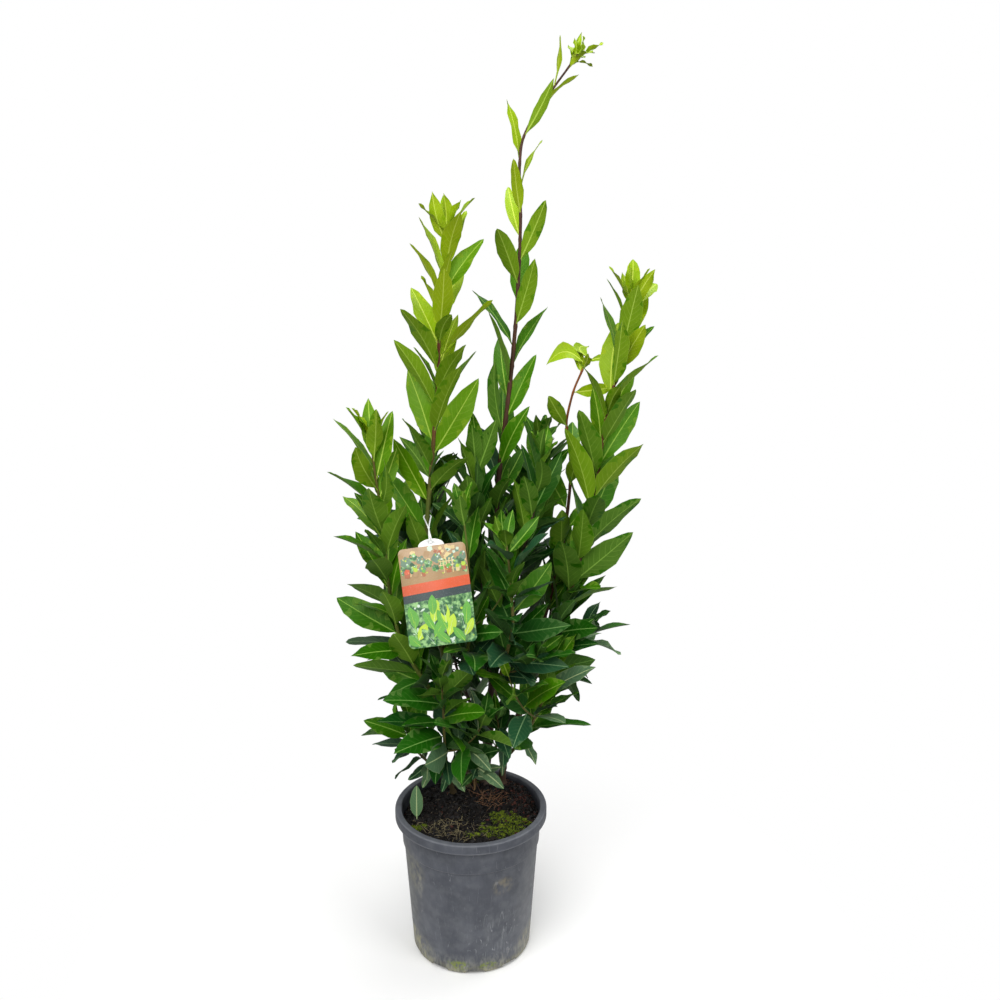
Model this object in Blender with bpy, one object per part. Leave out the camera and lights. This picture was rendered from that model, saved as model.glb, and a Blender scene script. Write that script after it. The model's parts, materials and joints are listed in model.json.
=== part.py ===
"""A young bay laurel in its nursery pot: four stems, side boughs, leafy shoots and a hung label.

Metres, +Z up. The origin is the centre of the pot's flat underside, and the plant's front faces -Y.
Every shoot of the plant follows one smooth path. Its lower, bare stretch is a stem or a bough. Its upper
stretch is a mass of foliage: a main twig with side twigs and leaves fused on, which starts a hair's breadth
above the bough.
"""

import math
import random
from typing import NamedTuple

import bmesh
import bpy
from mathutils import Matrix, Vector
from mathutils.bvhtree import BVHTree
from mathutils.geometry import interpolate_bezier
from mathutils.kdtree import KDTree

MM = 0.001
CLEAR = 0.3 * MM  # the gap left between two solids that touch

# Pot, by radius and height
POT_HEIGHT = 190 * MM
RIM_RADIUS = 95 * MM
RIM_DROP = 12 * MM  # height of the turned-down rim
RIM_THICK = 3.4 * MM  # from the rim's top to its underside, inside the turned-down edge
RIM_ROUND = 2.6 * MM  # radius of the rim's outer corner
RIM_MOUTH = 87 * MM  # radius of the opening at the top
MOUTH_ROUND = 1.4 * MM
MOUTH_FOOT = 182 * MM  # height where the mouth's flare starts, inside
BASE_RADIUS = 75 * MM
BASE_ROUNDING = 5 * MM
BODY_TOP_RADIUS = 84.3 * MM
BAND_FOOT = 145.4 * MM  # the step out to the wider top band
BAND_HEIGHT = 146.6 * MM
BAND_RADIUS = 86 * MM
NECK_RADIUS = 87.6 * MM  # outside, under the rim
WALL = 1.8 * MM
FLOOR = 2.6 * MM
POT_SEGMENTS = 40
NOTCH_COUNT = 10
NOTCH_WIDTH = 24 * MM
NOTCH_HEIGHT = 5 * MM
NOTCH_DEPTH = 7 * MM
NOTCH_TURN = math.radians(4.5)

# Compost: level round the stems, then sinking to the pot's wall
SOIL_SEAT = 184 * MM
SOIL_EDGE = 171 * MM
SOIL_SEAT_RADIUS = 36 * MM
SOIL_SLOPE = 55 * MM
SOIL_RINGS = 5
SOIL_SEGMENTS = 24
SOIL_BUMP = 1.2 * MM
SOIL_FOOT_RADIUS = 66 * MM
SOIL_BELOW_BAND = 0.5 * MM  # how much further from the wall it keeps under the step of the band
PLANT_CENTRE = Vector((0.014, 0.050, 0.0))

# Limbs
PATH_STEP = 24 * MM
STEM_SIDES = 7
BOUGH_SIDES = 6
TWIG_SIDES = 3
CUT_FREE = 4 * MM  # no point of a path lies nearer than this to where its leaves start
LINE_STEP = 4 * MM  # between the points that distances are measured from
FLARE = 0.7  # how much wider the foot of a stem is than the stem
FLARE_HEIGHT = 9 * MM

# Side twigs, which leave the main twig of a mass and bend upwards
SIDE_TWIG_LENGTH = (62 * MM, 92 * MM)
SIDE_TWIG_SPLAY = math.radians(58)
SIDE_TWIG_LIFT = 0.35  # share of each step's direction that turns upwards
SIDE_TWIG_STEPS = 4
SIDE_TWIG_RADIUS = 1.3 * MM
SIDE_TWIG_TAPER = 0.4
SIDE_TWIG_ZONE = (0.03, 0.55)  # the stretch of the main twig that side twigs spring from
SIDE_TWIG_SCATTER = 0.6  # of the space between one side twig and the next
SIDE_TWIG_SWERVE = 0.3
TWIG_APART = 9 * MM  # between the twigs of two masses, or a twig and a limb
TWIG_SEED = 5

# Leaves
LEAF_TURN = math.radians(137.5)  # each leaf stands this far round the twig from the one below
LEAF_WIDTH = 0.33  # of its length
LEAF_STATIONS = ((0.32, 0.92), (0.66, 0.90))  # along the leaf, and share of its half width there
LEAF_KEEL = 0.055  # depth of the folded blade, as a share of its width
LEAF_SIZES = (0.88, 1.10)  # how much one leaf differs from the next
LEAF_WIDTHS = (0.9, 1.1)
LEAF_BENDS = (8, 34)  # degrees that a leaf turns through from root to tip
LEAF_TURN_SPREAD = math.radians(9)
LEAF_SPLAY_SPREAD = 6
LEAF_SKY = 0.45  # how far a leaf's upper side is turned from its twig to the sky
LEAF_ROLL = 38  # spread of its turn about its own midrib, in degrees
SLENDER = {"centre": 0.6}  # width of a shoot's topmost leaves, as a share of the usual
FIRST_LEAF = 6 * MM  # from the foot of a twig
TIP_LEAVES = 5  # small leaves crowded at the tip of a main twig
SIDE_TIP_LEAVES = 3
TIP_GAP = 4.5 * MM
TIP_START = 0.6  # of that gap, before the first of the small leaves
TIP_LEAF_SHARE = 0.5  # size of the very last leaf, next to a full one
TRIES = 15  # for a leaf that doesn't fit: to one side, to the other, then nearer to its twig
SWAYS = (0.0, 0.3, -0.3)
EASE = 0.16
SHRINK = 0.05
SPACE_SHARED = 14 * MM  # how far a leaf may reach past the middle between two masses
LEAF_MARGIN = 0.5 * MM
LIMB_MARGIN = 0.8 * MM
LIMB_END_FREE = 3 * MM  # the last of a limb, which the lowest leaf of its own mass may lie against

# Label: a printed plastic card on a strap round the left shoot
CARD_WIDTH = 78 * MM
CARD_HEIGHT = 114 * MM
CARD_THICKNESS = 0.9 * MM
CARD_CORNER = 6 * MM
CARD_LEAN = math.radians(-18)  # the foliage behind pushes its foot forward
CARD_TURN = math.radians(-7.5)
TAB_WIDTH = 30 * MM
TAB_HEIGHT = 8 * MM
TAB_HOLE = 1.7 * MM
CARD_HOLE_AT = Vector((-0.0430, -0.0300, 0.5400))
CARD_FREE = 60 * MM  # no leaf hangs in front of the card within this distance
STRAP_RADIUS = 0.9 * MM
STRAP_HEIGHT = 0.562
STRAP_LOOP = 4.4 * MM
STRAP_TILT = math.radians(24)
STRAP_POINTS = 12
STRAP_BEFORE_CARD = 2.5 * MM  # from the card's front to the middle of the strap's end
SHANK_RADIUS = 1.3 * MM  # of the pin that goes through the hole
SHANK_FRONT = 3.4 * MM
BUTTON_RADIUS = 2.7 * MM  # of the button behind the card
BUTTON_BACK = 2.6 * MM

# What leaves stay clear of, beyond their own margin
GROUND_MARGIN = 2 * MM
CARD_MARGIN = 2 * MM
LOOP_MARGIN = 3 * MM

# A leaf that has dropped and stands with its stalk in the compost
FALLEN_AT = Vector((-0.068, -0.007, 0.0))
FALLEN_LENGTH = 44 * MM
FALLEN_WIDTH = 18 * MM
FALLEN_BEND = 0.3


class Shoot(NamedTuple):
    """One shoot. Heights and places are in metres, and sizes that start with mm are in millimetres."""

    name: str
    parent: str  # the shoot that it forks from, or "" where it stands in the compost
    fork: float  # height of the fork on the parent
    knots: tuple  # places that the path runs through, after the fork
    leafy_from: float  # height where the leaves start
    mm_radius: tuple  # at the foot and at the tip
    mm_gap: tuple  # between one leaf and the next, low and high on the shoot
    mm_leaf: tuple  # leaf length low, midway and high on the shoot
    splay: tuple  # angle between leaf and twig in degrees, low and high on the shoot
    side_twigs: int
    seed: int


SHOOTS = (
    Shoot("centre", "", 0, ((0.017, 0.062, 0.184), (0.022, 0.060, 0.250), (0.027, 0.055, 0.350),
          (0.030, 0.051, 0.450), (0.031, 0.050, 0.530), (0.036, 0.050, 0.610), (0.047, 0.050, 0.700),
          (0.056, 0.050, 0.800), (0.060, 0.050, 0.900), (0.059, 0.050, 0.965), (0.071, 0.050, 1.005),
          (0.122, 0.050, 1.074)),
          0.470, (5.6, 1.4), (15, 33), (88, 90, 50), (36, 17), 0, 6594),
    Shoot("left", "", 0, ((-0.010, 0.052, 0.184), (-0.010, 0.040, 0.245), (-0.022, 0.014, 0.340),
          (-0.043, 0.002, 0.440), (-0.050, 0.000, 0.530), (-0.042, 0.000, 0.630), (-0.034, 0.000, 0.720),
          (-0.031, 0.000, 0.780), (-0.023, 0.002, 0.845), (-0.021, 0.003, 0.890)),
          0.365, (5.0, 1.5), (14, 14), (82, 98, 75), (46, 22), 0, 262),
    Shoot("right", "", 0, ((0.039, 0.056, 0.184), (0.044, 0.050, 0.235), (0.072, 0.036, 0.325),
          (0.104, 0.030, 0.410), (0.130, 0.030, 0.490), (0.150, 0.030, 0.590), (0.162, 0.030, 0.680),
          (0.177, 0.030, 0.745), (0.186, 0.030, 0.815)),
          0.330, (4.8, 1.4), (13, 14), (82, 98, 72), (39, 18), 0, 6600),
    Shoot("low_left", "", 0, ((-0.024, 0.036, 0.184), (-0.029, 0.012, 0.225), (-0.031, -0.018, 0.275),
          (-0.031, -0.030, 0.325), (-0.033, -0.034, 0.375)),
          0.236, (3.2, 1.2), (8, 10), (84, 90, 68), (81, 43), 1, 2308),
    Shoot("low_outer_left", "low_left", 0.212, ((-0.050, 0.010, 0.238), (-0.067, 0.002, 0.262),
          (-0.080, -0.002, 0.292)),
          0.240, (2.4, 1.2), (8, 11), (74, 79, 72), (66, 43), 0, 6337),
    Shoot("foot", "left", 0.206, ((-0.002, 0.024, 0.217), (0.004, 0.008, 0.228), (0.008, -0.006, 0.244)),
          0.219, (2.2, 1.2), (8, 13), (70, 71, 57), (96, 76), 0, 3163),
    Shoot("low_front", "centre", 0.222, ((0.030, 0.034, 0.248), (0.036, 0.008, 0.278),
          (0.032, -0.012, 0.318)),
          0.250, (2.6, 1.2), (8, 9), (74, 70, 67), (95, 46), 1, 9781),
    Shoot("outer_left", "left", 0.262, ((-0.030, -0.004, 0.312), (-0.054, -0.016, 0.362),
          (-0.080, -0.022, 0.415), (-0.094, -0.022, 0.490), (-0.097, -0.022, 0.555),
          (-0.104, -0.022, 0.605), (-0.109, -0.022, 0.655)),
          0.330, (3.2, 1.3), (11, 11), (82, 88, 72), (52, 20), 1, 2755),
    Shoot("inner_right", "right", 0.300, ((0.080, 0.054, 0.370), (0.104, 0.062, 0.460),
          (0.117, 0.062, 0.530), (0.123, 0.062, 0.605), (0.117, 0.062, 0.667), (0.124, 0.062, 0.700),
          (0.141, 0.060, 0.742)),
          0.400, (3.4, 1.6), (15, 52), (80, 72, 50), (31, 46), 0, 5232),
    Shoot("front", "centre", 0.290, ((0.032, 0.014, 0.335), (0.041, -0.014, 0.385), (0.051, -0.028, 0.435),
          (0.049, -0.030, 0.490), (0.043, -0.030, 0.545)),
          0.345, (3.2, 1.3), (8, 10), (78, 81, 63), (67, 39), 2, 7383),
    Shoot("front_left", "left", 0.310, ((-0.008, -0.014, 0.370), (0.002, -0.026, 0.440),
          (0.000, -0.030, 0.520), (-0.006, -0.030, 0.575)),
          0.375, (3.0, 1.3), (11, 15), (78, 86, 62), (59, 27), 1, 3979),
    Shoot("low_right", "right", 0.225, ((0.056, 0.018, 0.258), (0.074, -0.008, 0.300),
          (0.090, -0.018, 0.345), (0.100, -0.022, 0.392)),
          0.272, (2.8, 1.2), (11, 13), (76, 83, 61), (63, 34), 2, 3952),
    Shoot("crown_left", "centre", 0.390, ((0.018, 0.036, 0.450), (0.008, 0.028, 0.520),
          (0.006, 0.026, 0.585), (0.009, 0.026, 0.630)),
          0.440, (3.0, 1.3), (8, 10), (74, 80, 71), (45, 17), 1, 80),
    Shoot("crown_right", "centre", 0.420, ((0.050, 0.038, 0.475), (0.070, 0.028, 0.530),
          (0.080, 0.024, 0.585), (0.084, 0.024, 0.628)),
          0.464, (3.0, 1.3), (10, 10), (80, 82, 67), (46, 21), 1, 2664),
    Shoot("back_left", "left", 0.335, ((-0.034, 0.046, 0.395), (-0.044, 0.074, 0.470),
          (-0.050, 0.088, 0.550), (-0.050, 0.094, 0.620)),
          0.395, (3.2, 1.3), (17, 18), (82, 84, 66), (52, 28), 2, 121),
    Shoot("back_right", "centre", 0.330, ((0.050, 0.088, 0.400), (0.070, 0.110, 0.480),
          (0.082, 0.120, 0.560), (0.088, 0.124, 0.630)),
          0.396, (3.2, 1.3), (17, 18), (82, 84, 66), (52, 28), 2, 131),
    Shoot("low_back_left", "centre", 0.228, ((0.004, 0.088, 0.268), (-0.018, 0.108, 0.315),
          (-0.030, 0.116, 0.368), (-0.034, 0.120, 0.412)),
          0.275, (2.8, 1.2), (15, 16), (82, 78, 62), (72, 36), 2, 141),
    Shoot("low_back_right", "right", 0.260, ((0.066, 0.072, 0.300), (0.086, 0.094, 0.345),
          (0.100, 0.106, 0.390), (0.106, 0.112, 0.432)),
          0.305, (2.8, 1.2), (15, 16), (82, 78, 62), (66, 34), 2, 151),
)

COLOURS = {  # base colour, roughness
    "black_plastic": ((0.060, 0.066, 0.078), 0.55),
    "compost": ((0.022, 0.015, 0.011), 0.95),
    "bark": ((0.105, 0.052, 0.034), 0.70),
    "bay_leaf": ((0.070, 0.190, 0.030), 0.45),
    "label_card": ((0.480, 0.420, 0.200), 0.35),
    "white_plastic": ((0.800, 0.810, 0.800), 0.40),
}


def clear_scene():
    for obj in list(bpy.data.objects):
        bpy.data.objects.remove(obj)


def material(name):
    found = bpy.data.materials.get(name)
    if found:
        return found
    colour, roughness = COLOURS[name]
    made = bpy.data.materials.new(name)
    made.use_nodes = True
    shader = made.node_tree.nodes["Principled BSDF"]
    shader.inputs["Base Color"].default_value = (*colour, 1.0)
    shader.inputs["Roughness"].default_value = roughness
    shader.inputs["Metallic"].default_value = 0.0
    return made


def new_object(name, bm, finish, collection=None):
    """An object of the bmesh's shape, at the origin."""
    mesh = bpy.data.meshes.new(name)
    bm.to_mesh(mesh)
    bm.free()
    mesh.materials.append(material(finish))
    obj = bpy.data.objects.new(name, mesh)
    (collection or bpy.context.scene.collection).objects.link(obj)
    return obj


def apply_boolean(obj, operation, other, solver="EXACT"):
    """Cuts or joins obj with an object or a collection, and removes what the result was made from."""
    boolean = obj.modifiers.new("Boolean", "BOOLEAN")
    boolean.operation = operation
    boolean.solver = solver
    if isinstance(other, bpy.types.Collection):
        boolean.operand_type = "COLLECTION"
        boolean.collection = other
        spent = list(other.objects)
    else:
        boolean.object = other
        spent = [other]
    graph = bpy.context.evaluated_depsgraph_get()
    result = bpy.data.meshes.new_from_object(obj.evaluated_get(graph))
    obj.modifiers.clear()
    obj.data = result
    for used in spent:
        bpy.data.objects.remove(used)


def smooth_round(obj, sharp_angle=math.radians(40)):
    obj.data.shade_smooth()
    obj.data.set_sharp_from_angle(angle=sharp_angle)


# Outlines, and shapes that are swept along a line


def arc(x, z, radius, start, end, pieces):
    """Points on an arc round (x, z), from one angle to another in degrees."""
    angles = [math.radians(start + (end - start) * k / pieces) for k in range(pieces + 1)]
    return [(x + radius * math.cos(a), z + radius * math.sin(a)) for a in angles]


def loft(bm, rings, foot=None, tip=None):
    """Joins rings of points into one closed skin of triangles. An end is flat where it has no point."""
    loops = [[bm.verts.new(point) for point in ring] for ring in rings]
    count = len(loops[0])
    for low, high in zip(loops, loops[1:]):
        for i in range(count):
            j = (i + 1) % count
            bm.faces.new((low[i], low[j], high[j]))
            bm.faces.new((low[i], high[j], high[i]))
    if foot is None:
        bm.faces.new(loops[0][::-1])
    else:
        start = bm.verts.new(foot)
        for i in range(count):
            bm.faces.new((loops[0][(i + 1) % count], loops[0][i], start))
    if tip is None:
        bm.faces.new(loops[-1])
    else:
        end = bm.verts.new(tip)
        for i in range(count):
            bm.faces.new((loops[-1][i], loops[-1][(i + 1) % count], end))


def smooth_path(knots):
    """Points about PATH_STEP apart on a smooth curve through the knots."""
    knots = [Vector(knot) for knot in knots]
    line = [2 * knots[0] - knots[1], *knots, 2 * knots[-1] - knots[-2]]
    points = [knots[0].copy()]
    for before, start, end, after in zip(line, line[1:], line[2:], line[3:]):
        pieces = max(1, round((end - start).length / PATH_STEP))
        leave, arrive = start + (end - before) / 6, end - (after - start) / 6
        points += interpolate_bezier(start, leave, arrive, end, pieces + 1)[1:]
    return points


def point_at_height(points, height):
    for low, high in zip(points, points[1:]):
        if low.z <= height <= high.z:
            return low.lerp(high, (height - low.z) / (high.z - low.z))
    raise ValueError(f"the path doesn't reach {height}")


def length_of(points):
    return sum((b - a).length for a, b in zip(points, points[1:]))


def tangent_at(points, i):
    return (points[min(i + 1, len(points) - 1)] - points[max(i - 1, 0)]).normalized()


def tube(bm, points, radii, sides, level_foot=False):
    """A closed tube along the points. A level foot is cut flat, whatever way the first stretch leans."""
    rings = []
    side = Vector((1, 0, 0))
    turns = [math.tau * k / sides for k in range(sides)]
    for i, (point, radius) in enumerate(zip(points, radii)):
        tangent = Vector((0, 0, 1)) if level_foot and i == 0 else tangent_at(points, i)
        side = (side - tangent * side.dot(tangent)).normalized()
        across = tangent.cross(side)
        rings.append([point + radius * (math.cos(a) * side + math.sin(a) * across) for a in turns])
    loft(bm, rings)


# The plant's paths


class Limb(NamedTuple):
    """The worked-out line of a shoot: its bare and its leafy stretch, with the radius at each point."""

    shoot: Shoot
    bare: list
    bare_radii: list
    leafy: list
    leafy_radii: list


def split_at_height(points, height):
    """The points below and above a height, both with a point exactly there."""
    cut = point_at_height(points, height)
    low = [p for p in points if p.z < height - CUT_FREE]
    high = [p for p in points if p.z > height + CUT_FREE]
    return [*low, cut], [cut.copy(), *high]


def radii_along(shoot, points, travelled, whole):
    """The radius at each point. Travelled is the length of path below the first one."""
    start, end = (r * MM for r in shoot.mm_radius)
    radii = []
    for i, point in enumerate(points):
        if i:
            travelled += (point - points[i - 1]).length
        radii.append(start + (end - start) * travelled / whole)
    return radii


def make_limbs():
    """Every shoot's line, by name. A side shoot starts on its parent's own axis."""
    limbs = {}
    for shoot in SHOOTS:
        knots = list(shoot.knots)
        if shoot.parent:
            parent = limbs[shoot.parent]
            knots.insert(0, point_at_height(parent.bare, shoot.fork))
        points = smooth_path(knots)
        bare, leafy = split_at_height(points, shoot.leafy_from)
        whole = length_of(bare) + length_of(leafy)
        bare_radii = radii_along(shoot, bare, 0.0, whole)
        leafy_radii = radii_along(shoot, leafy, length_of(bare), whole)
        # The foliage's twig starts clear of the bough's flat end.
        leafy[0] = leafy[0] + CLEAR * (leafy[1] - leafy[0]).normalized()
        if not shoot.parent:
            bare[0].z += CLEAR
            bare.insert(1, bare[0].lerp(bare[1], FLARE_HEIGHT / (bare[1].z - bare[0].z)))
            bare_radii.insert(1, bare_radii[0])
            bare_radii[0] *= 1 + FLARE
        limbs[shoot.name] = Limb(shoot, bare, bare_radii, leafy, leafy_radii)
    return limbs


def dense(points):
    """The same line with a point at least every LINE_STEP."""
    found = [points[0]]
    for a, b in zip(points, points[1:]):
        pieces = max(1, math.ceil((b - a).length / LINE_STEP))
        found += [a.lerp(b, k / pieces) for k in range(1, pieces + 1)]
    return found


def point_tree(points):
    tree = KDTree(len(points))
    for i, point in enumerate(points):
        tree.insert(point, i)
    tree.balance()
    return tree


def place_on(points, distance):
    """The point and the direction at a distance along the line."""
    for a, b in zip(points, points[1:]):
        step = (b - a).length
        if distance <= step or b is points[-1]:
            return a.lerp(b, min(distance / step, 1.0)), (b - a).normalized()
        distance -= step
    raise ValueError("the line has no length")


def blend3(low, middle, high, share):
    """From low through middle to high as share goes from 0 to 1."""
    if share < 0.5:
        return low + (middle - low) * share * 2
    return middle + (high - middle) * (share * 2 - 1)


def outward_from(axis, turn):
    """The direction square to the axis that stands at this compass turn."""
    level = Vector((math.cos(turn), math.sin(turn), 0))
    return (level - axis * level.dot(axis)).normalized()


# Twigs


class Twig(NamedTuple):
    points: list
    radii: list
    tip_leaves: int


def side_twig(limb, number, start, draw):
    """One side twig of a mass: out from the main twig, then turning upwards."""
    count = limb.shoot.side_twigs
    low, high = SIDE_TWIG_ZONE
    share = low + (high - low) * (number + draw.uniform(0, SIDE_TWIG_SCATTER)) / count
    root, axis = place_on(limb.leafy, share * length_of(limb.leafy))
    outward = outward_from(axis, start + LEAF_TURN * number + draw.gauss(0, SIDE_TWIG_SWERVE))
    heading = math.cos(SIDE_TWIG_SPLAY) * axis + math.sin(SIDE_TWIG_SPLAY) * outward
    step = draw.uniform(*SIDE_TWIG_LENGTH) / SIDE_TWIG_STEPS
    points = [root]
    for _ in range(SIDE_TWIG_STEPS):
        points.append(points[-1] + step * heading)
        heading = (heading + SIDE_TWIG_LIFT * Vector((0, 0, 1))).normalized()
    taper = SIDE_TWIG_TAPER / SIDE_TWIG_STEPS
    radii = [SIDE_TWIG_RADIUS * (1 - taper * k) for k in range(SIDE_TWIG_STEPS + 1)]
    return Twig(points, radii, SIDE_TIP_LEAVES)


def grow_twigs(limbs):
    """Each mass's twigs by name, the main one first. A side twig too near to another mass is left out."""
    draw = random.Random(TWIG_SEED)
    lines = {name: dense(limb.bare) + dense(limb.leafy) for name, limb in limbs.items()}
    twigs = {}
    for name, limb in limbs.items():
        twigs[name] = [Twig(limb.leafy, limb.leafy_radii, TIP_LEAVES)]
        others = point_tree([p for other, line in lines.items() if other != name for p in line])
        own_limb = point_tree(dense(limb.bare[:-1]))
        start = draw.uniform(0, math.tau)
        for number in range(limb.shoot.side_twigs):
            twig = side_twig(limb, number, start, draw)
            outer = dense(twig.points)[2:]
            if all(min(others.find(p)[2], own_limb.find(p)[2]) > TWIG_APART for p in outer):
                twigs[name].append(twig)
                lines[name] += dense(twig.points)
    return twigs


# Leaves


class Leaf(NamedTuple):
    """Where a leaf springs from its twig, its directions there, and its size."""

    root: Vector
    along: Vector  # from stalk to tip
    face: Vector  # out of its upper side
    length: float
    width: float
    bend: float  # how far it has turned away from its upper side by the tip


def leaf_frame(leaf, share):
    """The midrib's point at a share of the length, with the directions out of the leaf and across it."""
    angle = leaf.bend * share
    reach = leaf.length * math.sin(angle) / leaf.bend
    drop = leaf.length * (1 - math.cos(angle)) / leaf.bend
    along = math.cos(angle) * leaf.along - math.sin(angle) * leaf.face
    face = math.cos(angle) * leaf.face + math.sin(angle) * leaf.along
    return leaf.root + reach * leaf.along - drop * leaf.face, face, face.cross(along)


def leaf_rings(leaf):
    """Each station's right edge, left edge and keel."""
    rings = []
    for share, width in LEAF_STATIONS:
        middle, face, across = leaf_frame(leaf, share)
        half = leaf.width * width / 2
        rings.append([middle + half * across, middle - half * across, middle - 2 * half * LEAF_KEEL * face])
    return rings


def leaf_tip(leaf):
    return leaf_frame(leaf, 1.0)[0]


def add_leaf(bm, leaf):
    """The blade as a folded keel between two edges, from a point at its root to a point at its tip."""
    loft(bm, leaf_rings(leaf), foot=leaf.root, tip=leaf_tip(leaf))


def tree_of(bm):
    tree = BVHTree.FromBMesh(bm)
    bm.free()
    return tree


def with_margin(leaf):
    """A tree of the leaf, a little wider, with a copy of it on each side."""
    bm = bmesh.new()
    for shift in (-LEAF_MARGIN, 0, LEAF_MARGIN):
        add_leaf(bm, leaf._replace(root=leaf.root + shift * leaf.face, width=leaf.width + 2 * LEAF_MARGIN))
    return tree_of(bm)


def outer_parts(leaves):
    """A tree of the leaves without their narrow stretch next to the twig."""
    bm = bmesh.new()
    for leaf in leaves:
        loft(bm, leaf_rings(leaf), tip=leaf_tip(leaf))
    return tree_of(bm)


class Spaces:
    """Which space belongs to which mass, and what is already in it."""

    def __init__(self, twigs, keep_out):
        lines = {name: [p for twig in group for p in dense(twig.points)] for name, group in twigs.items()}
        self.own = {name: point_tree(line) for name, line in lines.items()}
        self.others = {}
        self.twigs = {}
        for name, group in twigs.items():
            foreign = [p for other, line in lines.items() if other != name for p in line]
            self.others[name] = point_tree(foreign)
            bm = bmesh.new()
            for twig in group:
                tube(bm, twig.points, [r + LIMB_MARGIN for r in twig.radii], TWIG_SIDES + 2)
            self.twigs[name] = tree_of(bm)
        self.filled = [keep_out]

    def fits(self, name, leaf, neighbours):
        """Whether a leaf keeps to its mass's space and touches neither another leaf nor anything else."""
        points = [p for ring in leaf_rings(leaf) for p in ring] + [leaf_tip(leaf)]
        own, others = self.own[name], self.others[name]
        if not all(own.find(p)[2] < others.find(p)[2] + SPACE_SHARED for p in points):
            return False
        wide = with_margin(leaf)
        foreign = self.filled + [tree for other, tree in self.twigs.items() if other != name]
        if any(wide.overlap(tree) for tree in foreign):
            return False
        return not outer_parts([leaf]).overlap(neighbours)

    def fill(self, leaves):
        """Takes up the space of a mass that is finished."""
        bm = bmesh.new()
        for leaf in leaves:
            add_leaf(bm, leaf)
        self.filled.append(tree_of(bm))


def leaf_places(shoot, twig):
    """Distances along the twig where leaves spring, from the lowest up, and crowded at the tip."""
    length = length_of(twig.points)
    crowded = twig.tip_leaves * TIP_GAP
    low, high = shoot.mm_gap
    places = []
    distance = FIRST_LEAF
    while distance < length - crowded:
        places.append(distance)
        distance += MM * (low + (high - low) * distance / length)
    return places + [length - crowded + TIP_GAP * (k + TIP_START) for k in range(twig.tip_leaves)]


def leaf_tries(shoot, twig, distance, to_tip, turn, draw):
    """One leaf's tries at a place on its twig: to one side and the other, and then nearer to the twig.

    The leaf is to_tip places from the end of the twig, and small where it is one of the last.
    """
    share = distance / length_of(twig.points)
    grown = TIP_LEAF_SHARE + (1 - TIP_LEAF_SHARE) * min(1.0, to_tip / (twig.tip_leaves + 1))
    size = MM * blend3(*shoot.mm_leaf, share) * draw.uniform(*LEAF_SIZES) * grown
    splay = shoot.splay[0] + (shoot.splay[1] - shoot.splay[0]) * share + draw.gauss(0, LEAF_SPLAY_SPREAD)
    splay = math.radians(splay) * grown
    roll = math.radians(draw.gauss(0, LEAF_ROLL))
    bend = math.radians(draw.uniform(*LEAF_BENDS))
    slender = 1 + (SLENDER.get(shoot.name, 1) - 1) * share
    width = LEAF_WIDTH * slender * draw.uniform(*LEAF_WIDTHS)
    root, axis = place_on(twig.points, distance)
    for number in range(TRIES):
        eased, side = divmod(number, len(SWAYS))
        ease = 1 - EASE * eased
        angle = splay * ease
        outward = outward_from(axis, turn + SWAYS[side])
        along = math.cos(angle) * axis + math.sin(angle) * outward
        inner = math.sin(angle) * axis - math.cos(angle) * outward
        sky = Vector((0, 0, 1)) - along * along.z
        face = (inner * (1 - LEAF_SKY) + sky * LEAF_SKY).normalized()
        face = Matrix.Rotation(roll * ease, 3, along) @ face
        long = size * (1 - SHRINK * eased)
        yield Leaf(root, along, face, long, long * width, bend * ease)


def grow_leaves(limb, twigs, spaces):
    """The leaves of one mass, by the shoot's own numbers and seed. One that fits at no try is left out."""
    shoot = limb.shoot
    leaves = []
    for number, twig in enumerate(twigs):
        draw = random.Random(shoot.seed * 100 + number)
        turn = draw.uniform(0, math.tau)
        places = leaf_places(shoot, twig)
        for i, distance in enumerate(places):
            turn += LEAF_TURN + draw.gauss(0, LEAF_TURN_SPREAD)
            neighbours = outer_parts(leaves)
            for leaf in leaf_tries(shoot, twig, distance, len(places) - i, turn, draw):
                if spaces.fits(shoot.name, leaf, neighbours):
                    leaves.append(leaf)
                    break
    spaces.fill(leaves)
    return leaves


# The solids


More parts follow.
